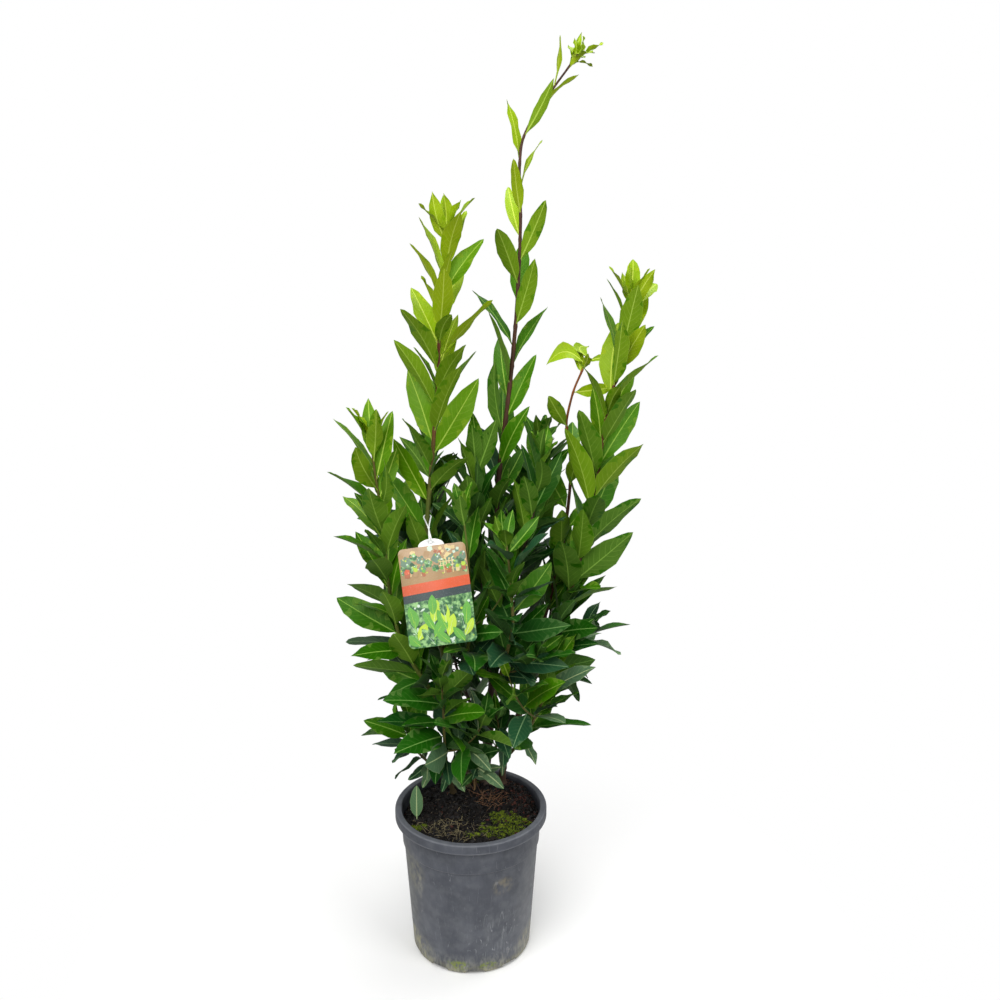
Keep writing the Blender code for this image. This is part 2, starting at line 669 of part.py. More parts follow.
def make_pot():
    """The turned shell of the pot, with a turned-down rim, a wider top band and notches in its foot."""
    skirt_foot = POT_HEIGHT - RIM_DROP
    rim_under = POT_HEIGHT - RIM_THICK
    outside = [(0, 0), *arc(BASE_RADIUS - BASE_ROUNDING, BASE_ROUNDING, BASE_ROUNDING, -90, 0, 3),
               (BODY_TOP_RADIUS, BAND_FOOT), (BAND_RADIUS, BAND_HEIGHT), (NECK_RADIUS, skirt_foot)]
    rim = [(NECK_RADIUS, rim_under), (RIM_RADIUS - WALL, rim_under), (RIM_RADIUS - WALL, skirt_foot),
           (RIM_RADIUS, skirt_foot),
           *arc(RIM_RADIUS - RIM_ROUND, POT_HEIGHT - RIM_ROUND, RIM_ROUND, 0, 90, 2),
           *arc(RIM_MOUTH + MOUTH_ROUND, POT_HEIGHT - MOUTH_ROUND, MOUTH_ROUND, 90, 180, 1)]
    inside = [(NECK_RADIUS - WALL, MOUTH_FOOT), (BAND_RADIUS - WALL, BAND_HEIGHT),
              (BODY_TOP_RADIUS - WALL, BAND_FOOT)]
    floor = [(BASE_RADIUS - WALL, BASE_ROUNDING + FLOOR), (BASE_RADIUS - BASE_ROUNDING, FLOOR), (0, FLOOR)]
    bm = bmesh.new()
    profile = [bm.verts.new((r, 0, z)) for r, z in outside + rim + inside + floor]
    edges = [bm.edges.new(pair) for pair in zip(profile, profile[1:])]
    bmesh.ops.spin(bm, geom=profile + edges, cent=(0, 0, 0), axis=(0, 0, 1), angle=math.tau,
                   steps=POT_SEGMENTS, use_merge=True)
    bmesh.ops.remove_doubles(bm, verts=bm.verts, dist=0.01 * MM)
    bmesh.ops.recalc_face_normals(bm, faces=bm.faces)
    pot = new_object("pot", bm, "black_plastic")
    apply_boolean(pot, "DIFFERENCE", notch_cutters())
    smooth_round(pot)


def notch_cutters():
    """The blocks that open the drainage notches round the pot's foot, in a collection."""
    cutters = bpy.data.collections.new("notch_cutters")
    bpy.context.scene.collection.children.link(cutters)
    for k in range(NOTCH_COUNT):
        bm = bmesh.new()
        block = Matrix.Diagonal((2 * NOTCH_DEPTH, NOTCH_WIDTH, 2 * NOTCH_HEIGHT, 1))
        place = Matrix.Translation((BASE_RADIUS, 0, 0))
        turn = Matrix.Rotation(math.tau * k / NOTCH_COUNT - math.pi / 2 + NOTCH_TURN, 4, "Z")
        bmesh.ops.create_cube(bm, size=1, matrix=turn @ place @ block)
        cutter = new_object(f"notch_cutter_{k}", bm, "black_plastic", cutters)
        cutter.hide_render = True
        cutter.display_type = "WIRE"
    return cutters


def soil_reach(height):
    """Radius of the compost at a height, clear of the flat facets of the pot's wall."""
    steps = ((BASE_ROUNDING + FLOOR, BASE_RADIUS), (BAND_FOOT, BODY_TOP_RADIUS), (BAND_HEIGHT, BAND_RADIUS),
             (MOUTH_FOOT, NECK_RADIUS))
    for (z0, r0), (z1, r1) in zip(steps, steps[1:]):
        if height <= z1:
            wall = r0 + (r1 - r0) * (height - z0) / (z1 - z0) - WALL
            return wall * math.cos(math.pi / POT_SEGMENTS) - CLEAR
    raise ValueError(f"the compost doesn't reach {height}")


def soil_height(x, y):
    """Level under the stems, then down to the edge, with a few low bumps on the way."""
    away = math.hypot(x - PLANT_CENTRE.x, y - PLANT_CENTRE.y) - SOIL_SEAT_RADIUS
    if away <= 0:
        return SOIL_SEAT
    slope = min(away / SOIL_SLOPE, 1.0)
    bump = SOIL_BUMP * math.sin(90 * x + 1) * math.cos(120 * y)
    return SOIL_SEAT - (SOIL_SEAT - SOIL_EDGE) * slope * slope * (3 - 2 * slope) + bump * slope


def make_soil():
    """The compost as one block that fills the pot, a hair's breadth inside its walls."""
    turns = [math.tau * k / SOIL_SEGMENTS for k in range(SOIL_SEGMENTS)]

    def ring(radius, height):
        return [Vector((radius * math.cos(a), radius * math.sin(a), height)) for a in turns]

    bottom = FLOOR + CLEAR
    corner = BASE_ROUNDING + FLOOR
    # From the bottom up the wall, then over the top towards its middle.
    rings = [ring(SOIL_FOOT_RADIUS, bottom), ring(soil_reach(corner) - SOIL_BELOW_BAND, corner),
             ring(soil_reach(BAND_FOOT) - SOIL_BELOW_BAND, BAND_FOOT),
             ring(soil_reach(BAND_HEIGHT), BAND_HEIGHT)]
    for k in range(SOIL_RINGS, 0, -1):
        top = ring(soil_reach(SOIL_EDGE) * k / SOIL_RINGS, 0)
        for point in top:
            point.z = soil_height(point.x, point.y)
        rings.append(top)
    bm = bmesh.new()
    loft(bm, rings, tip=(0, 0, soil_height(0, 0)))
    smooth_round(new_object("soil", bm, "compost"))


def make_stem(limb):
    """A stem from its flared, flat-cut foot on the compost to where its leaves start."""
    bm = bmesh.new()
    tube(bm, limb.bare, limb.bare_radii, STEM_SIDES, level_foot=True)
    smooth_round(new_object("stem_" + limb.shoot.name, bm, "bark"))


def make_bough(limb, parent):
    """A side limb, cut to sit against the limb that it forks from."""
    bm = bmesh.new()
    tube(bm, limb.bare, limb.bare_radii, BOUGH_SIDES)
    bough = new_object("bough_" + limb.shoot.name, bm, "bark")
    grown = [r / math.cos(math.pi / STEM_SIDES) + CLEAR for r in parent.bare_radii]
    bm = bmesh.new()
    tube(bm, parent.bare, grown, STEM_SIDES)
    apply_boolean(bough, "DIFFERENCE", new_object("fork_cutter", bm, "bark"))
    smooth_round(bough)


def make_foliage(limb, twigs, leaves):
    """One mass: the main twig with its side twigs and every leaf fused on."""
    name = limb.shoot.name
    pieces = bpy.data.collections.new("pieces_" + name)
    bpy.context.scene.collection.children.link(pieces)
    bm = bmesh.new()
    tube(bm, twigs[0].points, twigs[0].radii, TWIG_SIDES)
    main = new_object("leaves_" + name, bm, "bay_leaf")
    for twig in twigs[1:]:
        bm = bmesh.new()
        tube(bm, twig.points, twig.radii, TWIG_SIDES)
        new_object("side_twig", bm, "bay_leaf", pieces)
    for leaf in leaves:
        bm = bmesh.new()
        add_leaf(bm, leaf)
        new_object("blade", bm, "bay_leaf", pieces)
    apply_boolean(main, "UNION", pieces, solver="MANIFOLD")


def fallen_leaf():
    """The dropped leaf's measures: upright on the compost with its upper side to the front."""
    foot = FALLEN_AT + Vector((0, 0, soil_height(FALLEN_AT.x, FALLEN_AT.y) + CLEAR))
    return Leaf(foot, Vector((0, 0, 1)), Vector((0, -1, 0)), FALLEN_LENGTH, FALLEN_WIDTH, FALLEN_BEND)


def make_fallen_leaf():
    bm = bmesh.new()
    add_leaf(bm, fallen_leaf())
    new_object("fallen_leaf", bm, "bay_leaf")


def card_place():
    """Where the card hangs: its hole is the origin of its own flat frame, X across and Z up."""
    turn = Matrix.Rotation(CARD_TURN, 4, "Y")
    lean = Matrix.Rotation(CARD_LEAN, 4, "X")
    return Matrix.Translation(CARD_HOLE_AT) @ lean @ turn


def card_outline():
    """The card's outline in its own frame, anticlockwise from the front: round corners, a low tab on top."""
    half, top = CARD_WIDTH / 2, -TAB_HEIGHT / 2
    foot = top - CARD_HEIGHT
    points = arc(half - CARD_CORNER, foot + CARD_CORNER, CARD_CORNER, -90, 0, 3)
    points += arc(half - CARD_CORNER, top - CARD_CORNER, CARD_CORNER, 0, 90, 3)
    points += [(x * TAB_WIDTH / 2, top + z * TAB_HEIGHT) for x, z in arc(0, 0, 1, 0, 90, 3)]
    return points + [(-x, z) for x, z in reversed(points[:-1])]


def make_label():
    """The hung card: a thin plate with a low tab and the hole that the strap's button goes through."""
    bm = bmesh.new()
    front = bm.faces.new([bm.verts.new((x, -CARD_THICKNESS / 2, z)) for x, z in card_outline()])
    pushed = bmesh.ops.extrude_face_region(bm, geom=[front])
    moved = [v for v in pushed["geom"] if isinstance(v, bmesh.types.BMVert)]
    bmesh.ops.translate(bm, verts=moved, vec=(0, CARD_THICKNESS, 0))
    bmesh.ops.recalc_face_normals(bm, faces=bm.faces)
    card = new_object("label_card", bm, "label_card")
    bm = bmesh.new()
    bmesh.ops.create_cone(bm, cap_ends=True, segments=12, radius1=TAB_HOLE, radius2=TAB_HOLE,
                          depth=4 * CARD_THICKNESS, matrix=Matrix.Rotation(math.pi / 2, 4, "X"))
    apply_boolean(card, "DIFFERENCE", new_object("hole_cutter", bm, "label_card"))
    card.data.transform(card_place())


def strap_line(limb):
    """The strap's loop round the shoot, as a ring of points, and the line of its neck down to the card."""
    centre = point_at_height(limb.leafy, STRAP_HEIGHT)
    tilt = Matrix.Rotation(STRAP_TILT, 4, "X")
    level = arc(0, 0, STRAP_LOOP, -90, 270, STRAP_POINTS)[:-1]
    ring = [centre + tilt @ Vector((x, y, 0)) for x, y in level]
    end = Vector((0, -CARD_THICKNESS / 2 - STRAP_BEFORE_CARD, 0))
    over_tab = end + Vector((0, STRAP_RADIUS, TAB_HEIGHT))
    return ring, smooth_path([ring[0], card_place() @ over_tab, card_place() @ end])


def make_strap(limb):
    """The white strap: a loop round the shoot, a neck, and a button through the card's hole."""
    ring, neck = strap_line(limb)
    centre = sum(ring, Vector()) / len(ring)
    axis = (ring[0] - centre).cross(ring[STRAP_POINTS // 4] - centre).normalized()
    bm = bmesh.new()
    section = arc(0, 0, STRAP_RADIUS, 0, 360, BOUGH_SIDES)[:-1]
    loops = []
    for point in ring:
        out = (point - centre).normalized()
        loops.append([bm.verts.new(point + x * out + y * axis) for x, y in section])
    for here, there in zip(loops, loops[1:] + loops[:1]):
        for i in range(BOUGH_SIDES):
            bm.faces.new((here[i - 1], here[i], there[i], there[i - 1]))
    bmesh.ops.recalc_face_normals(bm, faces=bm.faces)
    strap = new_object("label_strap", bm, "white_plastic")
    pieces = bpy.data.collections.new("strap_pieces")
    bpy.context.scene.collection.children.link(pieces)
    behind = CARD_THICKNESS / 2 + CLEAR
    shank = [card_place() @ Vector((0, y, 0)) for y in (-SHANK_FRONT, (behind + BUTTON_BACK) / 2)]
    button = [card_place() @ Vector((0, y, 0)) for y in (behind, BUTTON_BACK)]
    for line, radius in ((neck, STRAP_RADIUS), (shank, SHANK_RADIUS), (button, BUTTON_RADIUS)):
        bm = bmesh.new()
        tube(bm, line, [radius] * len(line), BOUGH_SIDES)
        new_object("strap_piece", bm, "white_plastic", pieces)
    apply_boolean(strap, "UNION", pieces)


def make_keep_out(limbs):
    """One tree of what leaves stay clear of: limbs, the pot and its compost, and the label on its strap."""
    bm = bmesh.new()
    for limb in limbs.values():
        grown = [r + LIMB_MARGIN for r in limb.bare_radii]
        back = (limb.bare[-2] - limb.bare[-1]).normalized()
        tube(bm, [*limb.bare[:-1], limb.bare[-1] + LIMB_END_FREE * back], grown, BOUGH_SIDES)
    ground = [Vector((0, 0, z)) for z in (0, SOIL_SEAT + GROUND_MARGIN)]
    tube(bm, ground, [BASE_RADIUS, RIM_RADIUS + GROUND_MARGIN], SOIL_SEGMENTS)
    mouth = [Vector((0, 0, z)) for z in (SOIL_SEAT, POT_HEIGHT + GROUND_MARGIN)]
    tube(bm, mouth, [RIM_MOUTH - GROUND_MARGIN] * 2, SOIL_SEGMENTS)
    high = CARD_HEIGHT + TAB_HEIGHT + 2 * CARD_MARGIN
    spread = Matrix.Diagonal((CARD_WIDTH + 2 * CARD_MARGIN, CARD_FREE, high, 1))
    centre = Matrix.Translation((0, CARD_MARGIN - CARD_FREE / 2, -CARD_HEIGHT / 2))
    bmesh.ops.create_cube(bm, size=1, matrix=card_place() @ centre @ spread)
    ring, neck = strap_line(limbs["left"])
    loop_centre = Matrix.Translation(sum(ring, Vector()) / len(ring))
    bmesh.ops.create_icosphere(bm, subdivisions=1, radius=STRAP_LOOP + LOOP_MARGIN, matrix=loop_centre)
    tube(bm, neck, [STRAP_RADIUS + CARD_MARGIN] * len(neck), BOUGH_SIDES)
    dropped = fallen_leaf()
    tube(bm, [dropped.root, leaf_tip(dropped)], [dropped.width] * 2, BOUGH_SIDES)
    return tree_of(bm)


def build():
    clear_scene()
    make_pot()
    make_soil()
    limbs = make_limbs()
    for limb in limbs.values():
        if limb.shoot.parent:
            make_bough(limb, limbs[limb.shoot.parent])
        else:
            make_stem(limb)
    make_label()
    make_strap(limbs["left"])
    make_fallen_leaf()
    twigs = grow_twigs(limbs)
    spaces = Spaces(twigs, make_keep_out(limbs))
    for name, limb in limbs.items():
        make_foliage(limb, twigs[name], grow_leaves(limb, twigs[name], spaces))


build()
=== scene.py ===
"""The looks of a young bay laurel in its nursery pot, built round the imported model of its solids.

Metres, +Z up, as in the model. The plant grows here by the same rule and the same seeds as its solids did,
and is carried on to leaves in their own outline, more of them in the gaps, new ones at the ends of shoots,
leaf joints and bark. The pot, the compost and the hung label are finer shapes in the places of theirs.
"""

import itertools
import json
import math
import random
from typing import NamedTuple

import bmesh
import bpy
from mathutils import Matrix, Vector, noise
from mathutils.bvhtree import BVHTree
from mathutils.geometry import interpolate_bezier
from mathutils.kdtree import KDTree

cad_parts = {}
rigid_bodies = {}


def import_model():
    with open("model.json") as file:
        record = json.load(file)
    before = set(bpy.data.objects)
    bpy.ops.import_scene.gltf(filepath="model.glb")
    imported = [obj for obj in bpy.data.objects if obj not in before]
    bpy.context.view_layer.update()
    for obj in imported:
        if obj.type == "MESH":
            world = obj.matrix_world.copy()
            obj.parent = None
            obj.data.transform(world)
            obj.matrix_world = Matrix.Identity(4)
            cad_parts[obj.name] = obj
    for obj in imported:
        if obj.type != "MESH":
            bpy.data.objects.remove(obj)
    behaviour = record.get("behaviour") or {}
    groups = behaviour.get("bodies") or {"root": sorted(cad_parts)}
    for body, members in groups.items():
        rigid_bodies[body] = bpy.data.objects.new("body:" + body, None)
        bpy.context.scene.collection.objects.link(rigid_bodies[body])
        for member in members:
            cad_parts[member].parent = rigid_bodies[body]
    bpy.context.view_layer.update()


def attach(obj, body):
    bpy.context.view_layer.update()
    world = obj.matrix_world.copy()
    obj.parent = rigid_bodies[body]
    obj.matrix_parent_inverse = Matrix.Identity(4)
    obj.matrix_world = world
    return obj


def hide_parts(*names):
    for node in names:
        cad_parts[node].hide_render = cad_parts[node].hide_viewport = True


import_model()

BODY = "root"
MM = 0.001
UP = Vector((0, 0, 1))

# Camera
CAMERA_AT = (0.0365, -1.1224, 0.852)
CAMERA_TILT = math.radians(13.5)
CAMERA_LENS = 35.64
CAMERA_SENSOR = 36
CAMERA_CLIP = 0.05

CLEAR = 0.3 * MM  # the gap left between two solids that touch

# Pot, by radius and height
POT_HEIGHT = 190 * MM
RIM_RADIUS = 95 * MM
RIM_DROP = 12 * MM  # height of the turned-down rim
RIM_THICK = 3.4 * MM  # from the rim's top to its underside, inside the turned-down edge
RIM_ROUND = 2.6 * MM  # radius of the rim's outer corner
RIM_MOUTH = 87 * MM  # radius of the opening at the top
MOUTH_ROUND = 1.4 * MM
MOUTH_FOOT = 182 * MM  # height where the mouth's flare starts, inside
BASE_RADIUS = 75 * MM
BASE_ROUNDING = 5 * MM
BODY_TOP_RADIUS = 84.3 * MM
BAND_FOOT = 145.4 * MM  # the step out to the wider top band
BAND_HEIGHT = 146.6 * MM
BAND_RADIUS = 86 * MM
NECK_RADIUS = 87.6 * MM  # outside, under the rim
WALL = 1.8 * MM
FLOOR = 2.6 * MM
POT_SEGMENTS = 40
NOTCH_COUNT = 10
NOTCH_WIDTH = 24 * MM
NOTCH_HEIGHT = 5 * MM
NOTCH_DEPTH = 7 * MM
NOTCH_TURN = math.radians(4.5)
NOTCH_ROUND = 3 * MM

# Compost: level round the stems, then sinking to the pot's wall
SOIL_SEAT = 184 * MM
SOIL_EDGE = 171 * MM
SOIL_SEAT_RADIUS = 36 * MM
SOIL_SLOPE = 55 * MM
SOIL_SEGMENTS = 24
SOIL_BUMP = 1.2 * MM
SOIL_FOOT_RADIUS = 66 * MM
SOIL_BELOW_BAND = 0.5 * MM  # how much further from the wall it keeps under the step of the band
PLANT_CENTRE = Vector((0.014, 0.050, 0.0))

# Limbs
PATH_STEP = 24 * MM
BOUGH_SIDES = 6
TWIG_SIDES = 3
CUT_FREE = 4 * MM  # no point of a path lies nearer than this to where its leaves start
LINE_STEP = 4 * MM  # between the points that distances are measured from
FLARE = 0.7  # how much wider the foot of a stem is than the stem
FLARE_HEIGHT = 9 * MM

# Side twigs, which leave the main twig of a mass and bend upwards
SIDE_TWIG_LENGTH = (62 * MM, 92 * MM)
SIDE_TWIG_SPLAY = math.radians(58)
SIDE_TWIG_LIFT = 0.35  # share of each step's direction that turns upwards
SIDE_TWIG_STEPS = 4
SIDE_TWIG_RADIUS = 1.3 * MM
SIDE_TWIG_TAPER = 0.4
SIDE_TWIG_ZONE = (0.03, 0.55)  # the stretch of the main twig that side twigs spring from
SIDE_TWIG_SCATTER = 0.6  # of the space between one side twig and the next
SIDE_TWIG_SWERVE = 0.3
TWIG_APART = 9 * MM  # between the twigs of two masses, or a twig and a limb
TWIG_SEED = 5

# Leaves
LEAF_TURN = math.radians(137.5)  # each leaf stands this far round the twig from the one below
LEAF_WIDTH = 0.33  # of its length
LEAF_STATIONS = ((0.32, 0.92), (0.66, 0.90))  # along the leaf, and share of its half width there
LEAF_KEEL = 0.055  # depth of the folded blade, as a share of its width
LEAF_SIZES = (0.88, 1.10)  # how much one leaf differs from the next
LEAF_WIDTHS = (0.9, 1.1)
LEAF_BENDS = (8, 34)  # degrees that a leaf turns through from root to tip
LEAF_TURN_SPREAD = math.radians(9)
LEAF_SPLAY_SPREAD = 6
LEAF_SKY = 0.45  # how far a leaf's upper side is turned from its twig to the sky
LEAF_ROLL = 38  # spread of its turn about its own midrib, in degrees
SLENDER = {"centre": 0.6}  # width of a shoot's topmost leaves, as a share of the usual
FIRST_LEAF = 6 * MM  # from the foot of a twig
TIP_LEAVES = 5  # small leaves crowded at the tip of a main twig
SIDE_TIP_LEAVES = 3
TIP_GAP = 4.5 * MM
TIP_START = 0.6  # of that gap, before the first of the small leaves
TIP_LEAF_SHARE = 0.5  # size of the very last leaf, next to a full one
TRIES = 15  # for a leaf that doesn't fit: to one side, to the other, then nearer to its twig
SWAYS = (0.0, 0.3, -0.3)
EASE = 0.16
SHRINK = 0.05
SPACE_SHARED = 14 * MM  # how far a leaf may reach past the middle between two masses
LEAF_MARGIN = 0.5 * MM
LIMB_MARGIN = 0.8 * MM
LIMB_END_FREE = 3 * MM  # the last of a limb, which the lowest leaf of its own mass may lie against

# Label: a printed plastic card on a strap round the left shoot
CARD_WIDTH = 78 * MM
CARD_HEIGHT = 114 * MM
CARD_THICKNESS = 0.9 * MM
CARD_CORNER = 6 * MM
CARD_LEAN = math.radians(-18)  # the foliage behind pushes its foot forward
CARD_TURN = math.radians(-7.5)
TAB_WIDTH = 30 * MM
TAB_HEIGHT = 8 * MM
TAB_HOLE = 1.7 * MM
CARD_HOLE_AT = Vector((-0.0430, -0.0300, 0.5400))
CARD_FREE = 60 * MM  # no leaf hangs in front of the card within this distance
STRAP_RADIUS = 0.9 * MM
STRAP_HEIGHT = 0.562
STRAP_LOOP = 4.4 * MM
STRAP_TILT = math.radians(24)
STRAP_POINTS = 12
STRAP_BEFORE_CARD = 2.5 * MM  # from the card's front to the middle of the strap's end
CORD_RADIUS = 0.85 * MM  # of the strap as it is seen
CORD_STEP = 1.2 * MM
STRAP_BUTTONS = (  # how far behind the card's middle, radius, and half the depth
    (-1.1 * MM, 2.0 * MM, 0.9 * MM), (CARD_THICKNESS / 2 + 1.1 * MM, 2.7 * MM, 1.0 * MM),
)
KNOT_SIZE = (1.7 * MM, 1.3 * MM, 1.5 * MM)

# What leaves stay clear of, beyond their own margin
GROUND_MARGIN = 2 * MM
CARD_MARGIN = 2 * MM
LOOP_MARGIN = 3 * MM

# A leaf that has dropped and stands with its stalk in the compost
FALLEN_AT = Vector((-0.068, -0.007, 0.0))
FALLEN_LENGTH = 44 * MM
FALLEN_WIDTH = 18 * MM
FALLEN_BEND = 0.3

# Finer shapes than the solids'
POT_STEPS = 144
LIMB_STEP = 4.5 * MM
LIMB_SIDES = 10
SIDE_LIMB_SIDES = 7
SLIMMER = 0.22  # how much thinner than its solid a limb is at its end
JOINT_SWELL = 0.22  # how much wider a limb is where a leaf springs
JOINT_REACH = 2.6 * MM
BARE_JOINT_GAP = (13 * MM, 24 * MM)  # between the old leaf joints on bare wood
BARK_LUMPS = ((5 * MM, 0.05), (16 * MM, 0.07))  # across, and how high as a share of the shoot's thickness

# A leaf's outline: share of its length, and of its half width there. The first two rings are its stalk.
LEAF_OUTLINE = ((0.0, 0.0), (0.07, 0.0), (0.13, 0.30), (0.21, 0.62), (0.31, 0.86), (0.43, 0.99),
                (0.55, 0.99), (0.67, 0.88), (0.78, 0.68), (0.88, 0.42), (0.95, 0.20))
TWIST_FROM = 0.3  # share of its length where a leaf's twist is nought
BLADE_WIDTH = 0.90  # of a blade, as a share of its solid's
LOW_BREADTH = 0.24  # how much wider the blades are low down than high up
BREADTH_HEIGHTS = (0.72, 0.50)  # where that sets in, and where it is full
RIPPLE = 0.045  # how far the edge swings in and out, as a share of the half width
RIPPLES = 3.7
WAVE_SHIFT = 1.3  # how far the waves of one edge run ahead of the other's, by half
STALK_HALF = 0.75 * MM
STALK_PROUD = 0.55 * MM
RIB_HALF = (0.9 * MM, 0.35 * MM)  # of the midrib, at its foot and at its tip
RIB_PROUD = 0.15 * MM
BLADE_THICK = 0.35 * MM
RIB_THICK = 0.55 * MM
QUARTER = 0.52  # where the points midway between the rib and an edge lie
VEINS = 11  # side veins to a leaf
VEIN_LEAN = 1.9  # how many veins' spacing a side vein runs forward on its way to the edge

# Leaves between the source's own, where there is room
INFILL_GAP = 6 * MM
INFILL_GAPS = {"low_right": 24 * MM, "low_back_right": 20 * MM, "crown_left": 9 * MM,
               "crown_right": 9 * MM, "low_left": 10 * MM, "low_outer_left": 14 * MM, "low_front": 12 * MM}
INFILL_SIZE = (50 * MM, 76 * MM)
INFILL_TRIES = 4
INFILL_SPLAY_SPREAD = 12
INFILL_ZONE = (0.04, 0.86)
INFILL_TOP = {"centre": 0.58, "left": 0.50, "right": 0.47, "outer_left": 0.40, "inner_right": 0.50,
              "other": 0.60}
INFILL_THIN_GAPS = {"left": 26 * MM, "right": 26 * MM, "outer_left": 24 * MM}  # higher up


class Rosette(NamedTuple):
    """New leaves at a shoot's end. Each pair has the outmost leaf's value and the inmost's."""

    count: int
    start: float  # heading of the outmost leaf in degrees
    mm_long: tuple
    width: float  # as a share of the length
    splay: tuple  # degrees from the shoot's line
    curl: float  # how far each bends back, in degrees
    bow: float = 0.0  # how far each bows upwards in its own plane, as a share of its length
    facing: float = 0.35  # how far the upper sides are turned to the front
    beside: float = 0.74  # size of the other leaves there, against their solids


ROSETTES = {
    "centre": Rosette(8, 20, (24, 19), 0.58, (44, 4), 46, 0.0, 0.5, 1.0),
    "left": Rosette(4, 195, (48, 36), 0.44, (46, 8), 14),
    "right": Rosette(5, 45, (52, 38), 0.46, (46, 6), 12),
    "inner_right": Rosette(3, 180, (42, 34), 0.50, (105, 72), 25, 0.34, 0.85),
}
BESIDE_REACH = 70 * MM  # how far down the shoot the other leaves are smaller
ROSETTE_REACH = 12 * MM  # nearer to the end than this, a rosette takes their place
ROSETTE_DEPTH = 8 * MM  # along the shoot, from the outmost leaf's root to the inmost's
ROSETTE_OFF = 1.5 * MM  # from the shoot's middle to a root

# Single leaves low down: how far up the shoot, length in mm, width as a share of it, kind, and heading
LOW_LEAVES = {
    "foot": ((0.3, 22, 0.34, "dry", (0.1, -0.5, -0.9)), (0.95, 44, 0.36, "dropped", (0.78, -0.3, -0.55))),
    "low_left": ((0.02, 38, 0.40, "dropped", (0.55, -0.45, -0.6)),
                 (0.0, 30, 0.42, "glaucous", (-0.15, -0.5, -0.7))),
    "low_outer_left": ((0.05, 34, 0.42, "glaucous", (-0.7, -0.4, -0.55)),
                       (0.02, 32, 0.40, "dropped", (-0.2, -0.5, -0.75))),
    "low_front": ((0.35, 52, 0.20, "dropped", (0.12, -0.2, -1.0)),),
}
LOW_BEND = math.radians(24)
LOW_FOLDS = {"dry": 0.7}  # of the blade, where it isn't the usual
LOW_FOLD = 0.15
FRONT = Vector((0.2, -1.0, 0.25))  # where the upper sides of new and of low leaves look

# Small leaves near the compost
LOW_TIP = 0.275  # height below which leaves are smaller
LOW_FALL = 0.105  # how far below it they would come to nothing
LOW_SIZE = 0.42  # the smallest, as a share of a full leaf

# How light a leaf is, from its height in metres and these differences of its shoot
TONES = ("tip", "young", "fresh", "grown", "old", "dark")
TONE_FLOORS = (0.86, 0.72, 0.60, 0.50, 0.40, -9)
TONE_SPREAD = 0.06
TIP_REACH = 30 * MM  # from a twig's end, where leaves are lighter and more crinkled
SHOOT_TONE = {"left": 0.09, "outer_left": 0.12, "right": 0.06, "inner_right": 0.12, "centre": -0.08,
              "crown_left": -0.10, "crown_right": -0.08, "front": -0.02, "front_left": 0.01,
              "low_outer_left": 0.21, "low_left": 0.13, "low_right": 0.21, "low_front": 0.08,
              "back_left": -0.08, "back_right": -0.06}
TIP_TONES = {"left": 0.13, "right": 0.10, "outer_left": 0.13, "inner_right": 0.13, "centre": 0.13,
             "other": 0.06}
GLAUCOUS_SHARE = 0.16
GREY_SHARES = {"low_right": 0.34, "low_back_right": 0.34, "low_front": 0.2, "low_left": 0.12, "other": 0.0}
GREY_SHARE = 0.6  # of the leaves that hang over the compost
LOOKS_SEED = 11

# Light
SURROUND_LIGHT = 0.40  # of the white that the camera sees
SOFTBOXES = (  # place, watts, size
    ("key", (-0.9, -1.8, 2.3), 76, 2.4), ("fill", (1.6, -1.3, 1.4), 20, 1.2),
    ("top", (0.5, 0.6, 2.6), 30, 1.6),
)
LIT_POINT = Vector((0, 0, 0.5))
FLOOR_RADIUS = 40.0
FLOOR_GLOW = (0.12, 0.50)  # distances from the pot's axis between which the floor starts to glow

# Compost
COMPOST_STEPS = 96
COMPOST_RINGS = 30
COMPOST_LUMPS = ((11 * MM, 2.4), (4 * MM, 1.2))  # across, and how high in mm
COMPOST_REACH = 84.5 * MM  # crumbs and fibres lie nearer to the pot's axis than this
FIBRE_REACH = 84 * MM
MOSS_REACH = 85 * MM
CRUMBS = 4600
CRUMB_SIZE = (0.6, 5.2, 1.6)  # least, most and commonest, in mm
GRIT_SIZE = (0.4, 0.9)
BARK_SHARES = (0.12, 0.02)  # of shredded bark among the crumbs: on the right, and elsewhere
BROWN_UP_TO = 0.22  # the share of bark and brown peat together
GRIT_FROM = 0.982
FIBRES = 1000
FIBRE_STEPS = 4
FIBRE_SIDES = 4
MOSS_SPIKES = 3.2  # for each square millimetre of a cushion's radius
MOSS_RADIUS = (2.5, 6.0)  # of a cushion, in mm
SPIKE_RADIUS = (0.35 * MM, 0.4 * MM)  # at its foot and at its belly
SPIKE_ROOT = 1.6 * MM

# The printed card
CARD_EDGE = 0.18 * MM  # of its bevel
CARD_STEPS = 8  # points along each rounded corner and half the tab
PRINT_SIDE = 1.2 * MM  # the margins that the motifs keep
PRINT_FOOT = 1.6 * MM
PRINT_LIFT = 0.02 * MM
PRINT_LAYER = 0.003 * MM  # how much further out each printed shape lies than the last


class Shoot(NamedTuple):
    """One shoot, with its heights, places and sizes in millimetres."""

    name: str
    parent: str  # the shoot that it forks from, or "" where it stands in the compost
    fork: float  # height of the fork on the parent
    knots: tuple  # places that the path runs through, after the fork
    leafy_from: float  # height where the leaves start
    radius: tuple  # at the foot and at the tip
    gap: tuple  # between one leaf and the next, low and high on the shoot
    leaf: tuple  # leaf length low, midway and high on the shoot
    splay: tuple  # angle between leaf and twig in degrees, low and high on the shoot
    side_twigs: int
    seed: int


